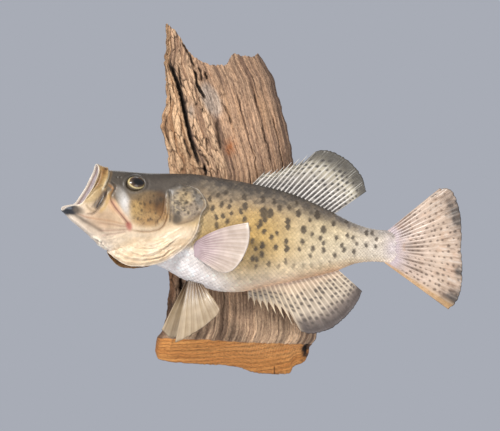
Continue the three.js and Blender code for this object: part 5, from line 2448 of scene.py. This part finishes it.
    def sides(self, points: Array, colour: Array, grain: Array) -> tuple[Array, Array, Array]:
        """Add the rows that carry the face back to the wall on the left and the right.

        Args:
            points: The grid so far, lane by lane.
            colour: Its colours.
            grain: Its places in the tree.

        Returns:
            The same three with the rows added.
        """
        grown = [points, colour, grain]
        down = points[0, :, 2]
        bark = blend("7b5f4a", "a5805f", 0.5 + cloudy(down / 9, 3.3 + 0 * down, 3))
        order = np.arange(points.shape[1])
        ends = np.minimum(1, np.minimum(order, order[::-1]) / 24)
        for at, way in ((0, -1), (-1, 1)):
            f = np.linspace(0, 1, 9)[:-1][::-way, None]
            place, shade, fibre = (
                np.repeat(grid[at][None], len(f), axis=0) for grid in (points, colour, grain)
            )
            swell = 1 + MOTTLE(place[..., 2] / 7, f * 5 + way)
            place[..., 0] += way * 0.7 * ends * np.sin(math.pi * f) * swell
            place[..., 1] *= f
            fibre[..., 1] *= f
            fibre[..., 0] += way * 0.02 * (1 - f)
            shade = blend(shade * 0.85, bark, np.minimum(1, 2 * (1 - f)) + 0 * ends)
            for k, rows in enumerate((place, shade, fibre)):
                grown[k] = np.concatenate((rows, grown[k])[::-way])
        return tuple(grown)

    def back(self, points: Array) -> list[BMesh]:
        """Close the back: strips in from the rim, flat fields round the hanger's recess, and it.

        Args:
            points: The grid of the other faces, whose border is the rim.

        Returns:
            The sheets.
        """
        left, right, low, high, deep = self.pocket
        one, two = self.field_rows[0], sum(self.field_rows[:2])
        near, far = self.field_columns[0], sum(self.field_columns[:2])
        side, up = counted(self.field_columns)[:, None], counted(self.field_rows)[None, :]
        crown_x, foot_x = (a + (b - a) * side / 3 for a, b in (self.crown_span, self.foot_span))
        z = through(up, self.cut(foot_x) + 3, low, high, self.top(crown_x) - 2.6)
        x = through(side, self.left(z) + 2.4, left, right, self.right(z) - 2.6)
        x = foot_x + (x - foot_x) * ease(0, 0.12, up)
        level = x[:, two][:, None]
        x = np.where(up > 2, level + (crown_x - level) * (up - 2), x)
        field = np.stack([x, 0 * x, z], -1)
        parts = [
            field[:, :one + 1], field[:near + 1, one:two + 1], field[far:, one:two + 1],
            field[:, two:],
        ]
        for rim, line in (
            (points[:, 0], field[:, -1]), (points[:, -1], field[:, 0]),
            (points[0, ::-1], field[0]), (points[-1, ::-1], field[-1]),
        ):
            run, way = (
                np.append(0, np.cumsum(np.linalg.norm(np.diff(edge, axis=0), axis=1)))
                for edge in (rim, line)
            )
            at = run / run[-1] * way[-1]
            inner = np.stack([np.interp(at, way, line[:, k]) for k in range(3)], -1)
            parts.append(np.stack([rim, inner]))
        corners = (left, low), (right, low), (right, high), (left, high), (left, low)
        mouth = np.array([(a, 0, b) for a, b in corners])
        sunk = mouth - np.array([0, deep, 0])
        parts.append(np.array([mouth, sunk, np.broadcast_to(sunk[:4].mean(axis=0), sunk.shape)]))
        made = []
        for place in parts:
            cloud = cloudy(place[..., 0] / 12, place[..., 2] / 40, 3)
            paint = blend("8d715a", "a98a6c", 0.5 + cloud)
            if place is parts[-1]:
                paint[:] = tint("b08458")
            made.append(sheet(place, paint, place * MM + np.array([0.0675, 0, 0])))
        return made

    def colours(self, points: Array, lane: Array, share: Array, dark: Array, lift: Array) -> Array:
        """Paint the weathered face and the fresh saw cut.

        Args:
            points: The points.
            lane: Their line of the grain.
            share: 0 on the face, above 0 across the saw cut.
            dark: How deep they lie in cracks, which sets their painted shade.
            lift: How high they stand among the chips and ribs, which sets their painted highlight
                and shade.

        Returns:
            Linear colours.
        """
        x, z = points[..., 0], points[..., 2]
        m = MOTTLE
        streak = cloudy(lane * 75, z / 60, 4)
        tone = cloudy(lane * 14, z / 30, 3)
        lower = ease(-40, -90, z)
        pale = ease(-95, -120, z) * ease(0.1, 0.6, cloudy(lane * 26, z / 50, 2)) * 0.6
        tan = fall(0.17, 0.2, lane) * ease(-60, 60, z)
        flake = ease(0.2, 0.22, lane) * fall(0.36, 0.44, lane) * ease(0, 40, z)
        smooth = fall(0.6, 1.15, np.hypot((x + 19.5 - 0.35 * (92 - z)) / 9.5, (z - 91) / 17))
        smooth = np.maximum(smooth, 0.9 * bell(np.hypot((x + 37.5) / 3, (z - 81) / 7), 1))
        # the lift paints raised chips and ribs lighter and low ones darker: painted highlight and
        # shade
        colour = coated(
            blend("866a58", "cba585", 0.54 + 1.5 * streak + 0.6 * tone + 0.18 * lift),
            (
                blend("95795f", "e0c09d", 0.52 + 1.5 * streak),
                0.55 * lower + 0.3 * cloudy(lane * 7, z / 45, 2),
            ),
            ("cdae8e", pale),
            (blend("a17a58", "edc59b", 0.55 + 1.1 * streak + 0.25 * lift), 0.9 * tan),
            (blend("93745d", "edc7a1", 0.55 + 0.3 * lift + 0.8 * streak), 0.9 * flake),
            (blend("a39285", "cbb9a8", 0.5 + 1.2 * streak), 0.9 * smooth),
        )
        colour = colour * (1 - 0.16 * ease(84, 112, z) * ease(0.4, 0.5, lane))[..., None]
        warm = ease(0.5, 0.58, lane) * ease(40, 110, z)
        warm = warm * ease(0, 0.5, cloudy(lane * 22, z / 70, 2))
        knot = bell(np.hypot(x + 2, (z - 48) / 1.4) + 1.5 * m(x / 3, z / 3), 4.6)
        left = fall(0, 0.06, lane) * fall(-20, 20, z)
        # painted shade in the low parts of the ribs
        ribs = ease(0.42, 0.5, lane) * unit(-0.5 * lift)
        specks = ease(0.3, 0.7, m(lane * 150, z / 1.7)) * (1 - 0.5 * lower)
        colour = coated(
            colour,
            ("c99e72", 0.55 * warm),
            ("b8692c", 0.75 * knot),
            (blend("6b4a33", "b07b50", 0.5 + 0.6 * lift), 0.8 * left),
            ("5b4638", 0.7 * ribs),
        )
        colour = blend(colour, colour * 0.5, 0.65 * specks)
        grit = np.random.default_rng(self.speck_seed).normal(1, 0.13, z.shape)[..., None]
        # cracks and gaps between chips painted near black as shade
        colour = blend(colour * np.clip(grit, 0.6, 1.4), "2e2119", unit(dark * 1.15))
        return blend(colour, self.fresh(points, lane, share, dark), ease(0, 0.02, share))

    def fresh(self, points: Array, lane: Array, share: Array, dark: Array) -> Array:
        """Paint the fresh saw cut with its rings, its saw marks and its crumbling end.

        Args:
            points: The points.
            lane: Their line of the grain.
            share: 0 on the face, above 0 across the saw cut.
            dark: How deep they lie in rot.

        Returns:
            Linear colours.
        """
        q = share + 0.85 * lane + 0.03 * MOTTLE(lane * 6, share * 3)
        ring = 0.5 + 0.5 * np.sin(q * 44 + 1.2 * MOTTLE(q * 5, 2.0 + 0 * q))
        hatch = 0.5 + 0.5 * np.sin(lane * 330 + share * 24)
        marks = 0.35 * hatch**3 * fall(0.2, 0.7, share) * ease(0.3, 0.6, lane)
        rim = 0.7 * fall(0.0, 0.05, share) + 0.6 * fall(0, 0.03, lane)
        crumb = ease(-0.25, 0.2, cloudy(points[..., 0] / 3, points[..., 2] / 3, 3))
        return coated(
            blend("f7b063", "dd9049", 0.5 + 0.8 * cloudy(lane * 7, q * 26, 3)),
            ("a8632c", 0.75 * ring**6),
            ("ffd39c", marks),
            ("7b4d2b", rim + 0.6 * ease(0.96, 1, lane)),
            ("3d281a", 0.85 * ease(0.92, 0.965, lane) * crumb),
            ("24170f", unit(1.3 * dark)),
        )


# ---- scene


@dataclass(frozen=True)
class Hardware:
    """The hanger and its nails on the back: the solids themselves, in zinc-plated steel."""

    nodes: tuple[str, ...] = ("hanger", "hanger_nail_1", "hanger_nail_2")

    def dress(self) -> None:
        """Give the solids their finish."""
        steel = SteelFinish().material()
        for name in self.nodes:
            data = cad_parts[name].data
            data.materials.clear()
            data.materials.append(steel)


@dataclass(frozen=True)
class Lamp:
    """An area light aimed at the mount."""

    name: str
    place: Triple
    size: float
    power: float
    colour: Triple = (1, 1, 1)


@dataclass(frozen=True)
class Studio:
    """A plain pale floor, soft lights and the camera."""

    aim: Triple = (0.0162, -0.06, -0.014)
    distance: float = 4.0
    lens: float = 320.0
    sensor: float = 36.0
    floor_level: float = -0.9
    floor_reach: float = 4.0
    backdrop: str = "a8acb6"
    lamps: tuple[Lamp, ...] = (
        Lamp("key_light", (-1.3, -2.0, 1.5), 0.7, 74.0, (1.0, 0.98, 0.94)),
        Lamp("fill_light", (0.9, -2.6, -0.5), 1.6, 20.0, (0.96, 0.98, 1.0)),
        Lamp("back_light", (0.4, 1.9, 1.2), 1.6, 12.0),
    )

    def build(self) -> None:
        """Set the stage, the lights, the world and the camera."""
        bm = bmesh.new()
        bmesh.ops.create_circle(bm, cap_ends=True, segments=96, radius=self.floor_reach)
        bmesh.ops.translate(bm, verts=bm.verts, vec=(0, 0, self.floor_level))
        floor = PlainFinish("floor_paint", "d9dade").material()
        placed("studio_floor", meshed("studio_floor", bm), floor)
        for lamp in self.lamps:
            self.light(lamp)
        world = bpy.data.worlds.new("studio_air")
        world.use_nodes = True
        background = world.node_tree.nodes["Background"]
        background.inputs["Color"].default_value = (*tint(self.backdrop), 1)
        background.inputs["Strength"].default_value = 1.0
        bpy.context.scene.world = world
        bpy.context.scene.view_settings.view_transform = "Standard"
        self.camera()

    def light(self, lamp: Lamp) -> None:
        """Hang a lamp and turn it to the mount.

        Args:
            lamp: The lamp.
        """
        data = bpy.data.lights.new(lamp.name, "AREA")
        data.shape = "DISK"
        data.size = lamp.size
        data.energy = lamp.power
        data.color = lamp.colour
        made = bpy.data.objects.new(lamp.name, data)
        made.location = lamp.place
        beam = Vector(self.aim) - Vector(lamp.place)
        made.rotation_euler = beam.to_track_quat("-Z", "Y").to_euler()
        made.visible_camera = False
        bpy.context.scene.collection.objects.link(made)

    def camera(self) -> None:
        """Stand the camera straight before the mount."""
        data = bpy.data.cameras.new("front_camera")
        data.lens = self.lens
        data.sensor_width = self.sensor
        made = bpy.data.objects.new("front_camera", data)
        made.location = Vector(self.aim) - Vector((0, self.distance, 0))
        made.rotation_euler = (math.pi / 2, 0, 0)
        bpy.context.scene.collection.objects.link(made)
        bpy.context.scene.camera = made


def main() -> None:
    """Build the mount piece by piece and set the scene round it."""
    logging.basicConfig(level=logging.INFO, format="%(name)s: %(message)s")
    Slab().build()
    Skin().build()
    for side in Side:
        Scales(side).build()
        Eye(side).build()
    for fin in FINS:
        fin.build()
    Hardware().dress()
    Studio().build()


if __name__ == "__main__":
    main()
